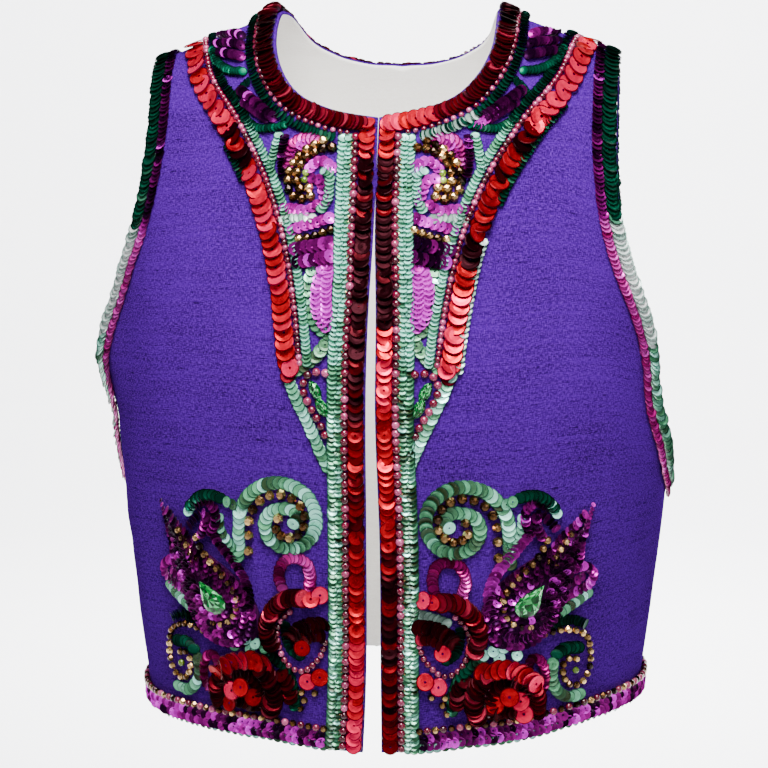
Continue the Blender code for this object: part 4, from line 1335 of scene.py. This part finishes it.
# What is sewn on each front by place, by solid: kind, size, step (0 for one at each place),
# tilt, painted light and tone on the right and left front (shaded when low, lit when high; a
# list runs along the row, None leaves it out), how much it strays, lift, places as distance
# from the centre line and height. In millimetres and degrees.
SEWN = (
    # Between the yoke band and the neck band
    ("yoke_band", (
        ("green", 6.0, 2.0, 34, (0.15, 0.2), 0.12, 0,
         ((105, -25), (101, -32), (92, -37), (83, -38))),
        ("magenta", 6.5, 2.0, 50, (0.02, 0.12), 0.07, 0, ((101, -17), (93, -15.5), (87, -17))),
        ("magenta", 6.5, 2.0, 50, (0.02, 0.04), 0.07, 0.2,
         ((101.5, -22), (93, -21.5), (85.5, -23))),
        ("magenta", 6.5, 2.0, 50, (0.02, 0.04), 0.07, 0.4, ((99, -27), (91, -28.5), (85, -29.5))),
        ("magenta", 6.0, 0, 5, (0.95, 0.8), 0.03, 1.5, ((95, -15.5),)),
        ("green", 5.5, 2.0, 34, (0.2, 0.3), 0.12, 0, ((79, -44), (83, -48), (87, -53))),
        ("magenta", 7.0, 2.2, 45, (0.04, 0.04), 0.08, 0,
         ((82, -50), (75, -55), (67, -61), (61, -65))),
        ("magenta", 6.0, 2.4, 45, (0.05, 0.06), 0.08, 0.4, ((79, -57), (72, -61.5), (65, -66))),
        ("magenta", 5.5, 3.4, 20, (None, 0.7), 0.15, 1.0, ((68, -62), (63, -66), (58, -70))),
        ("green", 5.5, 2.0, 34, (0.2, 0.45), 0.15, 0, ((79, -66), (70, -71), (61, -71), (54, -69))),
        ("mint", 6.0, 2.4, 32, (0.75, 0.8), 0.2, 0, ((61, -92), (59, -83), (57, -75))),
    )),
    # Bib, from the top down
    ("bib_curl", (
        ("magenta", 6.0, 2.0, 45, (0.04, 0.10), 0.08, 0, ((53, -98), (54, -88), (53, -76))),
        ("pink", 8.0, 2.6, 22, (0.62, 0.66), 0.2, 0,
         ((50, -92), (49, -84), (45, -78), (38, -77), (32, -79))),
        ("magenta", 6.5, 2.6, 22, (0.66, 0.5), 0.12, 0.5, ((46, -85), (43, -81), (38, -80))),
        ("bronze", 6.4, 5.4, 0, (0.5, 0.55), 0.28, 1.0,
         ((30, -78.4), (36, -80.8), (41, -84), (45.6, -88.5), (49.2, -94.3), (50, -100),
         (49.5, -105.4), (46.5, -109.8), (41, -111.3), (36, -109.8))),
        ("bronze", 6.4, 5.4, 0, (0.5, 0.6), 0.28, 1.2,
         ((24.6, -82), (30.6, -82.8), (36.4, -85.6), (41, -89.6), (44.2, -95.1), (44.8, -101),
         (42.4, -105.6), (37.2, -105.2))),
        ("lime", 4.6, 0, 0, (0.6, 0.8), 0.15, 0.8, ((39.4, -96.5), (39.9, -100.6))),
        ("magenta", 6.6, 3.0, 24, (0.72, 0.78), 0.15, 0.3,
         ((37, -94), (33, -90.5), (28.6, -90), (23.4, -93.5))),
        ("magenta", 6.6, 3.4, 20, (0.62, 0.66), 0.2, 0.3,
         ((27, -113), (28.6, -107), (30.5, -101), (35.5, -99.8))),
        ("mint", 6.4, 2.4, 32, (0.72, 0.9), 0.16, 0,
         ((29, -117), (25.4, -111), (25, -104), (25, -97), (29, -95))),
    )),
    ("bib_bar_1", (
        ("magenta", 6.6, 3.4, 22, (0.6, 0.66), 0.18, 0.3,
         ((51, -117), (45, -117), (38, -118), (31.5, -114.5))),
        ("white", 6.2, 2.8, 26, (0.55, 0.3), 0.3, 0, ((51, -123.6), (43, -121.8), (34, -122.2))),
        ("magenta", 7.0, 3.6, 22, (0.52, 0.62), 0.18, 0.4,
         ((45.5, -129), (39.4, -126.6), (32, -124.6), (24, -122))),
        ("bronze", 6.0, 5.4, 0, (0.55, 0.62), 0.25, 0.6,
         ((42, -133.7), (35, -132.7), (29, -130.6), (23.5, -128.6))),
    )),
    ("bib_bar_2", (
        ("magenta", 8.4, 3.2, 34, (0.26, 0.08), 0.24, 0.2, ((43, -140), (33, -138), (23, -136))),
        ("magenta", 8.4, 3.2, 34, (0.20, 0.05), 0.22, 0.2,
         ((41, -147), (31, -145.5), (22, -143.5))),
    )),
    ("leaf", (
        ("magenta", 7.2, 2.9, 24, (1.0, 0.92), 0.06, 0.3,
         ((24, -183), (28.5, -177.5), (30.4, -168), (29.6, -158), (27, -151))),
        ("magenta", 7.2, 2.9, 24, (1.0, 0.92), 0.06, 0.6,
         ((23.4, -178), (24.4, -168), (24.4, -158), (23.4, -150))),
        ("magenta", 7.0, 0, 10, (0.6, 0.5), 0.05, 1.6, ((24.5, -148.5),)),
        ("flat mint", 7.6, 4.2, 14, (0.30, 0.2), 0.16, 0,
         ((23.5, -187), (29, -183.5), (33.6, -177), (35.2, -168), (35, -158), (33.4, -151.5))),
    )),
    ("bib_drop", (
        ("flat mint", 8.0, 4.2, 14, (0.16, 0.22), 0.16, 0.2,
         ((44, -210), (38, -206), (30.5, -200.5), (24.6, -193))),
        ("cranberry", 5.2, 5.4, 0, (0.4, 0.5), 0.25, 0.8,
         ((24, -209), (30.5, -208.8), (36, -212), (37, -219.5), (34, -226.5), (30.8, -232.5),
         (27.4, -238), (24.5, -244.5))),
    )),
    ("yoke_tail", (
        ("flat mint", 7.6, 3.4, 15, ([0.55, 0.5, 0.9, 0.2], [0.75, 0.55, 0.6, 0.9]), 0.22, 0,
         ((23.5, -263), (27, -255), (32, -243.5), (37, -233), (41.5, -223.5), (45, -215))),
        ("maroon", 9.5, 0, 12, (0.2, 0.1), 0.05, 0.6, ((46, -211),)),
    )),
    ("yoke_band", (
        ("red", 11.5, 0, 12, (0.95, 0.85), 0.03, 1.6, ((44.6, -206.6),)),
    )),
    # Scroll's eye and ring
    ("scroll", (
        ("flat mint", 8.2, 3.8, 16, ([0.6, 0.7, 0.3, 0.1], [0.7, 0.3, 0.15, 0.4]), 0.25, 0.4,
         SCROLL_EYE),
    )),
    ("ring", (
        ("pink", 7.4, 2.4, 26, ([0.3, 0.8, 0.9, 1.0, 0.9, 0.1, 1.0], None), 0.1, 0,
         ((34.5, -334), (34, -327), (37, -320), (44, -318), (50, -321), (53, -329), (51, -337))),
        ("pink", 7.4, 2.4, 26, (None, [0.8, 0.95, 0.3, 0.1, 0.2, 0.6, 0.5]), 0.1, 0,
         ((51, -337), (53, -329), (50, -321), (44, -318), (37, -320), (34, -327), (34.5, -334))),
        ("pink", 7.0, 2.6, 26, (None, 0.45), 0.25, 0, ((36, -338), (42, -341), (48, -340))),
    )),
    # Upper flower
    ("rosette", (
        ("maroon", 11.5, 2.8, 40, ([0.10, 0.12, 0.2, 0.3], [0.10, 0.2, 0.3, 0.5]), 0.13, 0,
         ((58, -371), (60.5, -361), (58, -353), (53, -346.5), (46, -342), (38, -341.5))),
        ("red", 11.0, 5.0, 16, ([0.35, 0.95], [0.5, 0.95]), 0.06, 0.8,
         ((39, -343), (34, -342), (28.5, -340))),
        ("white", 7.0, 3.0, 20, (None, 0.6), 0.2, 0, ((26, -350), (34, -352), (42, -355))),
        ("maroon", 10.0, 2.8, 36, (0.14, 0.1), 0.12, 0.5,
         ((26, -357), (34, -357.5), (41, -361), (47, -367))),
        ("maroon", 9.5, 2.8, 34, (0.2, 0.15), 0.14, 0.3, ((28, -364), (34, -364), (39, -367))),
        ("green", 6.4, 2.4, 32, (0.12, 0.15), 0.12, 0,
         ((49.5, -359), (49.5, -367), (47, -374), (41, -378.5))),
        ("red", 10.5, 0, 8, (0.3, 0.6), 0.04, 2.6, ((39.5, -372.5),)),
        ("cranberry", 4.2, 4.1, 0, (0.45, 0.5), 0.28, 0.8,
         ((47, -351.5), (52.5, -357), (55, -364.5), (54.2, -373), (51.3, -381), (46, -386.5),
         (39.5, -387.6), (33.8, -383.4), (28.8, -377), (26, -369))),
        ("red", 10.8, 0, 10, (0.35, 0.6), 0.04, 0.8, ((29.5, -390.5),)),
        ("red", 11.0, 0, 10, (0.85, 0.95), 0.04, 1.8, ((37, -393.5),)),
        ("maroon", 10.0, 2.8, 36, (0.22, 0.12), 0.14, 0, ((47.5, -404), (48, -397), (52, -390))),
        ("green", 7.6, 3.2, 22, (0.15, 0.5), 0.14, 0.6,
         ((45, -409), (45.5, -399), (49, -389), (55, -382), (62, -377))),
        ("bronze", 4.8, 0, 0, (0.6, 0.65), 0.2, 0.6,
         ((41, -401), (33, -401), (39.4, -406), (42, -411.4))),
    )),
    # Lower flower
    ("flower", (
        ("maroon", 12.5, 2.8, 40, ([0.06, 0.10, 0.2], [0.06, 0.08, 0.12]), 0.1, 0,
         ((59, -412), (57, -403), (59, -394), (65, -386.5))),
        ("maroon", 11.0, 2.8, 38, ([0.08, 0.10, 0.25], [0.12, 0.15, 0.3]), 0.1, 0,
         ((93.5, -411), (93.5, -402), (91, -394))),
        ("maroon", 10.0, 3.0, 34, (0.10, 0.14), 0.1, 0,
         ((67, -410), (67, -401), (71, -394), (79, -391), (87, -396), (88, -405))),
        ("maroon", 10.0, 3.4, 30, (0.12, 0.12), 0.1, 0.3, ((71, -411), (77, -410), (83, -409.5))),
        ("red", 12.4, 4.2, 22, ([0.6, 0.5, 0.9, 0.55, 0.4], [0.4, 0.6, 0.8, 0.5, 0.95]), 0.14, 3.2,
         ((62, -383.5), (71, -382.4), (79, -383.4), (86, -387.5), (92, -393))),
        ("red", 12.0, 0, 6, (0.95, 0.72), 0.03, 4.4, ((83, -403),)),
        ("red", 12.0, 0, 6, (0.45, 0.40), 0.03, 5.2, ((76.5, -399.5),)),
        ("red", 11.5, 0, 8, (0.2, 0.45), 0.03, 4.0, ((69, -405),)),
        ("red", 11.0, 0, 10, (0.25, 0.85), 0.03, 3.4, ((85, -411.5),)),
        ("cranberry", 3.6, 3.8, 0, (0.4, 0.45), 0.28, 2.2,
         ((66, -392), (63.5, -399), (63.5, -406), (65.5, -412))),
        ("flat mint", 7.6, 0, 16, (0.85, 0.95), 0.12, 0.6, ((74.5, -370.5), (68.5, -372.5))),
        ("flat mint", 7.6, 0, 16, (0.6, 0.85), 0.2, 0.2, ((82, -375.5), (63, -375), (72, -376.5))),
        ("white", 7.0, 0, 16, (None, 0.5), 0.1, 0.6, ((63.5, -350.5), (66, -349.5), (68.5, -349))),
    )),
    # Paisley: its ear, tip, lobe and outer row, the curl above and the leaf beside it
    ("paisley", (
        ("magenta", 6.4, 2.6, 40, (0.10, 0.08), 0.18, 0.6,
         ((94, -306), (91, -299), (92, -291.5), (98, -288), (104, -292))),
        ("magenta", 6.4, 2.8, 36, (0.18, 0.08), 0.2, 1.0,
         ((100, -308), (97, -301), (98, -295), (104, -299), (108, -304))),
        ("magenta", (6.5, 3.0), 2.6, 34, (0.22, 0.35), 0.3, 0.6,
         ((120, -326), (122, -315), (125, -304), (129, -292))),
        ("magenta", 6.0, 2.8, 34, (0.25, 0.25), 0.3, 0.6,
         ((108, -315), (113, -308), (119, -303), (124, -297))),
        ("magenta", 6.5, 2.8, 28, (0.45, 0.5), 0.28, 0.6,
         ((113, -346), (119, -343), (126, -339), (128, -333), (123, -328), (116, -330))),
        ("magenta", 6.0, 3.0, 28, (0.35, 0.45), 0.28, 1.0, ((112, -339), (118, -337), (122, -334))),
        ("magenta", (6.4, 8.6), 2.8, 32, (None, 0.66), 0.12, 0.6,
         ((97, -302), (91, -310), (84, -318), (77.5, -326), (73, -334), (71, -343), (72, -353))),
        ("magenta", (8.6, 6.8), 2.8, 32, (None, 0.62), 0.16, 0.6,
         ((72.5, -355), (77, -363), (84, -368.5), (92, -369), (101, -364), (106.5, -356),
         (108, -346))),
        ("magenta", 6.6, 2.6, 36, (0.14, None), 0.2, 0.6,
         ((96, -303), (90, -312), (83, -320), (76, -329), (72, -338), (71, -348), (74, -359),
         (80, -366), (90, -370), (99, -367), (106, -360), (109, -352))),
        ("bronze", 5.4, 5.6, 0, (0.45, 0.55), 0.28, 3.0,
         ((103, -310.5), (100, -317), (96.5, -322.4), (92, -327.6), (87, -332.5), (82.3, -338),
         (79, -344.6), (79, -351.6), (82, -358), (87.5, -362), (94, -362.2))),
        ("bronze", 5.2, 5.2, 0, (0.5, 0.6), 0.28, 2.6,
         ((116, -308), (112.5, -314), (108.5, -319.5), (107.5, -326))),
        ("bronze", 4.4, 0, 0, (0.5, 0.6), 0.25, 2.6, ((104, -323.5),)),
        ("green", 7.4, 2.6, 30, (0.10, 0.14), 0.12, 0.6,
         ((107, -291.5), (101, -285.5), (94, -283.5), (88, -285))),
        ("flat mint", 7.2, 3.2, 18, (0.55, 0.9), 0.25, 1.2, ((80.5, -288.5), (84, -287))),
        ("flat mint", 6.8, 3.0, 18, (0.9, 0.95), 0.1, 1.4, ((108.5, -295), (105.5, -290))),
        ("flat mint", 6.2, 3.2, 22, (0.5, 0.55), 0.3, 0.2,
         ((81.5, -314.5), (86, -309), (89, -303.5), (89.5, -297.5))),
        ("flat mint", 7.6, 3.4, 16, (0.5, 0.35), 0.25, 0.2,
         ((125, -345), (118, -350.5), (111, -355.5))),
    )),
    # Curl at the side
    ("side_curl", (
        ("green", 6.8, 2.2, 34, (0.08, 0.12), 0.1, 0,
         ((107, -363), (112, -361.5), (118, -361.5), (124, -365))),
        ("bronze", 4.9, 4.9, 0, (0.5, 0.58), 0.28, 0.8,
         ((102.6, -369.4), (108, -368), (114, -367.2), (120, -369), (125, -373), (127, -379),
         (127.6, -386), (127.4, -392.5), (125.4, -399), (121, -403), (116, -402), (113, -396.4),
         (112.6, -390), (115.6, -385.6), (119.6, -386.4))),
        ("lime", 4.6, 0, 0, (0.3, 0.4), 0.1, 0.2, ((119.8, -394),)),
        ("green", 8.6, 3.0, 26, (0.12, 0.2), 0.12, 0, ((120, -379), (114, -378.6), (109, -382))),
        ("flat mint", 8.0, 3.6, 18, ([0.5, 0.3, 0.15, 0.1], [0.45, 0.3, 0.2, 0.4]), 0.2, 0.2,
         ((122, -409.5), (115, -410), (109, -404.5), (106.5, -396), (107, -388))),
        ("pink", 6.4, 2.4, 32, ([0.5, 0.05, 0.2, 0.6], 0.12), 0.14, 0,
         ((95, -405.5), (99.5, -406), (102.4, -400), (102.6, -391), (99.5, -384.5), (95, -384),
         (93.4, -390))),
    )),
)

# How much further out and up some motifs lie on the left front than on the right
MOVED = {
    "leaf": (0.0035, 0.0),
    "bib_drop": (0.0030, 0.0),
    "bib_bar_1": (0.0010, 0.0),
    "bib_bar_2": (0.0020, 0.0),
    "paisley": (-0.0050, 0.0045),
    "side_curl": (-0.0050, 0.0055),
}

# The painted light and tone along the scroll of each front, from its foot to its eye
SCROLL_PAINTED_LIGHT_AND_TONE = {
    RIGHT: [0.6, 0.9, 0.3, 0.6, 0.75, 0.65, 0.5, 0.75, 0.6],
    LEFT: [0.3, 0.75, 0.5, 0.1, 0.15, 0.3, 0.55, 0.3, 0.5],
}
# Rows round the inside of the paisley: share of its outline, size, step
PAISLEY_ROWS = (
    (0.90, 5.4, 3.6), (0.76, 5.4, 3.6), (0.62, 5.2, 3.6), (0.48, 5.2, 3.4), (0.34, 5.0, 3.4),
)
# Painted light and tone of the paisley's inner rows on each front, and how much it strays
PAISLEY_PAINTED_LIGHT_AND_TONE = {RIGHT: (0.10, 0.24), LEFT: (0.04, 0.12)}
# How high the paisley's padding stands, in millimetres, and the share of it at its outline
PADDING_RISE, PADDING_AT_OUTLINE = 4.4, 0.40


def moved(motif, side, centre):
    """A motif's centre on one front."""
    return np.array(centre) + (MOVED.get(motif, (0.0, 0.0)) if side == LEFT else (0.0, 0.0))


def sew_listed(side):
    """Sews the rows and single pieces listed by place on one front."""
    for solid, kind, size, step, tilt, painted_lights_and_tones, stray, lift, places in (
        (solid, *row) for solid, rows in SEWN for row in rows
    ):
        glow = painted_lights_and_tones[side > 0]
        if glow is None:
            continue
        node = f"{solid}_{SIDE_NAMES[side]}"
        places = moved(solid, side, np.array(places) / 1000)
        if step:
            row = on_front(places, side)
            sew_row(kind, node, FRONT, side, row, size, step, 0, tilt, glow, stray, lift)
        else:
            spots = mirrored(shifted(places, side), side)
            points, normals = form(FRONT, *spots.T), outward(FRONT, *spots.T)
            upwards = np.broadcast_to([0.0, 0.0, 1.0], points.shape)
            lift = TRIM_LIFT + lift / 1000
            stitched(kind, node, points, normals, upwards, size / 1000, tilt, 0, glow, stray, lift)


def sew_motifs(side):
    hand = SIDE_NAMES[side]
    scroll = on_front(scroll_places(), side)
    sew_rows(f"scroll_{hand}", FRONT, side, (
        ("flat mint", scroll, 8.6, 3.4, 0, 16, SCROLL_PAINTED_LIGHT_AND_TONE[side], 0.26, 0, 2, 1),
        ("bronze", scroll, 6.6, 9.4, -6.8, 0, 0.55, 0.25, 1.4, 6, 10),
    ))
    centre = moved("paisley", side, PAISLEY_CENTRE)
    glow, stray = PAISLEY_PAINTED_LIGHT_AND_TONE[side]
    for share, size, step in PAISLEY_ROWS:
        outline = drop_outline(
            centre, PAISLEY_LENGTH * share, PAISLEY_WIDTH * share, PAISLEY_LEAN, PAISLEY_POINTS
        )
        route = mirrored(shifted(outline, side), side)
        middle = (1 - PADDING_AT_OUTLINE) * (1 - share**2)
        rise = PADDING_RISE * (PADDING_AT_OUTLINE + middle)
        sew_row(
            "magenta", f"paisley_{hand}", FRONT, side, route, size, step, 0, 26, glow, stray, rise,
            closed=True,
        )
    sew_listed(side)


# Crystals and padding

def built_up(name, side, outline, levels, base, finish, smooth):
    """A closed body over an outline on the front. Each level gives its ring's share of the
    outline and its rise."""
    centre = outline.mean(axis=0)
    work = bmesh.new()
    spot = work.verts.layers.float_vector.new("spot")
    ring = bmesh.ops.create_circle(work, cap_ends=True, segments=len(outline), radius=1.0)["verts"]
    for vert, place in zip(ring, outline):
        vert[spot] = (*place, 0.0)
    edges = list(work.edges)
    for level, (share, rise) in enumerate(levels):
        if level:
            grown = bmesh.ops.extrude_edge_only(work, edges=edges)["geom"]
            ring = [item for item in grown if isinstance(item, bmesh.types.BMVert)]
            edges = [item for item in grown if isinstance(item, bmesh.types.BMEdge)]
            edges = [edge for edge in edges if all(vert in ring for vert in edge.verts)]
        places = centre + (np.array([vert[spot][:2] for vert in ring]) - centre) * share
        spots = mirrored(shifted(places, side), side)
        points = form(FRONT, *spots.T) + (base + rise) * outward(FRONT, *spots.T)
        for vert, point in zip(ring, points):
            vert.co = point
    bmesh.ops.contextual_create(work, geom=edges)
    if not smooth:
        bmesh.ops.poke(work, faces=work.faces)
    bmesh.ops.recalc_face_normals(work, faces=work.faces)
    for facet in work.faces:
        facet.smooth = smooth
    mesh = mesh_from(work, name)
    # Blender makes the facets in no fixed order, so each takes its values by its height. The values
    # paint each facet's reflection, bright on a few and dark on most.
    rank = np.argsort(np.argsort([facet.center.z for facet in mesh.polygons]))
    glow = chance.uniform(0.0, 1.0, len(rank)) ** FACET_PAINTED_LIGHT_POWER
    set_values(mesh, "glow", "FACE", glow[rank])
    set_values(mesh, "own", "FACE", chance.random(len(rank))[rank])
    mesh.materials.append(finish)
    return linked(name, mesh)


# How strongly a crystal's painted facet reflections lean to the dark end
FACET_PAINTED_LIGHT_POWER = 2.0
# Levels of the padding and of the cut stones, from the cloth up: share of the outline, rise
PADDED = ((1.0, 0.0), (1.0, 0.0012), (0.92, 0.0021), (0.62, 0.0034), (0.28, 0.0044))
HIGH_CUT = ((0.94, 0.0), (1.0, 0.0016), (0.80, 0.0036), (0.50, 0.0048))
LOW_CUT = ((0.94, 0.0), (1.0, 0.0014), (0.74, 0.0030), (0.42, 0.0036))
STONE_LIFT = 0.0046
PADDING_SIDES, STONE_SIDES, MARQUISE_SIDES = 48, 14, 12


def set_stones(side):
    """The crystals and the padding under the raised motifs, by the solid's name."""
    hand = SIDE_NAMES[side]
    middle = moved("paisley", side, PAISLEY_CENTRE)
    paisley = drop_outline(middle, PAISLEY_LENGTH, PAISLEY_WIDTH, PAISLEY_LEAN, PADDING_SIDES)
    centre = moved("paisley", side, STONE_CENTRE) + STONE_STEP
    stone = drop_outline(centre, STONE_LENGTH, STONE_WIDTH, PAISLEY_LEAN, STONE_SIDES)
    # Solid, slot, name, outline, levels, lift, finish, whether it is smooth
    crystal = ("paisley_crystal", stone, HIGH_CUT, STONE_LIFT, EMERALD, False)
    made = [
        ("paisley", "magenta_sequins", "paisley_padding", paisley, PADDED, 0.0, PADDING, True),
        ("paisley_stone", "crystals", *crystal),
    ]
    for number, centre in enumerate(MARQUISES, 1):
        centre = moved("bib_drop", side, centre)
        leaf = lens_outline(
            centre, MARQUISE_LENGTH, MARQUISE_WIDTH, MARQUISE_LEAN, MARQUISE_SIDES
        )
        name = f"bib_crystal_{number}"
        made.append(("bib_drop", "crystals", name, leaf, LOW_CUT, 0.0, EMERALD, False))
    stones = {}
    for solid, slot, name, outline, levels, base, finish, smooth in made:
        piece = built_up(
            f"{name}_{hand}", side, outline, levels, TRIM_LIFT + base, finish, smooth
        )
        stones.setdefault(f"{solid}_{hand}", []).append((piece, slot))
    return stones


# The set

def studio():
    """A pale floor that turns up all round, soft lights, and the camera."""
    profile = [(0.0, FLOOR), (BOWL - BOWL_BEND, FLOOR)]
    for k in range(1, 9):
        turn = k / 8 * np.pi / 2
        reach, rise = BOWL_BEND * (1 - np.sin(turn)), BOWL_BEND * (1 - np.cos(turn))
        profile.append((BOWL - reach, FLOOR + rise))
    work = spun(profile + [(BOWL, BOWL_TOP)], 64)
    for side in work.faces:
        side.smooth = True
    mesh = mesh_from(work, "floor")
    paper, tree, shader = finish_of("pale paper", {"Roughness": 0.9, "Specular IOR Level": 0.1})
    grain = noise(tree, object_place(tree), PAPER_GRAIN)
    colour = blended(tree, grain, linear(250, 250, 252), linear(245, 245, 248))
    tree.links.new(colour, shader.inputs["Base Color"])
    mesh.materials.append(paper)
    floor = linked("floor", mesh)

    world = bpy.data.worlds.new("daylight")
    world.use_nodes = True
    nodes, link = world.node_tree.nodes, world.node_tree.links.new
    sky = nodes.get("Background") or nodes.new("ShaderNodeBackground")
    sky.inputs["Color"].default_value = (1.0, 1.0, 1.0, 1.0)
    sky.inputs["Strength"].default_value = SKY_STRENGTH
    if not sky.outputs["Background"].links:
        out = nodes.new("ShaderNodeOutputWorld")
        link(sky.outputs["Background"], out.inputs["Surface"])
    bpy.context.scene.world = world

    for name, place, aim, watts, width in LAMPS:
        light = bpy.data.lights.new(name, "AREA")
        light.energy = watts
        light.size = width
        lamp = linked(name, light)
        lamp.location = place
        lamp.rotation_euler = (Vector(aim) - Vector(place)).to_track_quat("-Z", "Y").to_euler()

    lens = bpy.data.cameras.new("camera")
    lens.lens = CAMERA_LENS
    lens.sensor_width = CAMERA_SENSOR
    camera = linked("camera", lens)
    camera.location = CAMERA_PLACE
    camera.rotation_euler = (np.radians(90 - CAMERA_TILT), 0.0, np.radians(CAMERA_HEADING))
    bpy.context.scene.camera = camera


# Height of the floor, and the radius of its bowl, of the bend at its rim, and its top
FLOOR, BOWL, BOWL_BEND, BOWL_TOP = -0.95, 4.2, 1.3, 1.1
PAPER_GRAIN = 3.0
SKY_STRENGTH = 0.12
MIDDLE, CHEST, BACKDROP = (0.0, 0.0, -0.22), (0.0, -0.1, -0.10), (0.0, 3.2, -0.3)
LAMPS = (
    # name, place, aim, watts, width
    ("key light", (0.03, -0.50, 0.38), CHEST, 19.4, 0.40),
    ("side light", (0.9, -1.5, 0.3), MIDDLE, 5.2, 0.8),
    ("back light", (0.3, 1.5, 1.2), MIDDLE, 12.0, 1.4),
    ("backdrop light", (0.0, 1.4, 1.3), BACKDROP, 470.0, 1.4),
)
CAMERA_LENS, CAMERA_SENSOR = 85.55, 36.0
CAMERA_PLACE = (0.1402, -1.1414, -0.0710)
CAMERA_TILT, CAMERA_HEADING = 7.954, 7.314


# Putting it together

# The places kept for each kind of sequin or bead on each solid
WORK = {}
cloths = {
    "front_right": cloth_sheet("right_front_cloth", FRONT, (RIGHT,)),
    "front_left": cloth_sheet("left_front_cloth", FRONT, (LEFT,)),
    "back": cloth_sheet("back_cloth", BACK, (RIGHT, LEFT)),
}
sew_back()
stones = {}
for body_side in (RIGHT, LEFT):
    sew_edges(body_side)
    sew_yoke(body_side)
    sew_motifs(body_side)
    stones.update(set_stones(body_side))
trims = sew_all_on(kinds_of_shape())
for solid, row in stones.items():
    trims.setdefault(solid, []).extend(row)

for solid, pieces in trims.items():
    for piece, slot in pieces:
        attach(piece, "root")
        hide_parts(solid)
for solid, cloth in cloths.items():
    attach(cloth, "root")
    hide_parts(solid)

studio()


def lies_on(solid):
    """The panel that a band or motif is sewn on."""
    if "back" in solid:
        return "back"
    return "front_right" if solid.endswith("right") else "front_left"


for panel_name, (width, length, area) in CUTS.items():
    pieces = [
        piece for solid, row in trims.items() if lies_on(solid) == panel_name for piece, _ in row
    ]
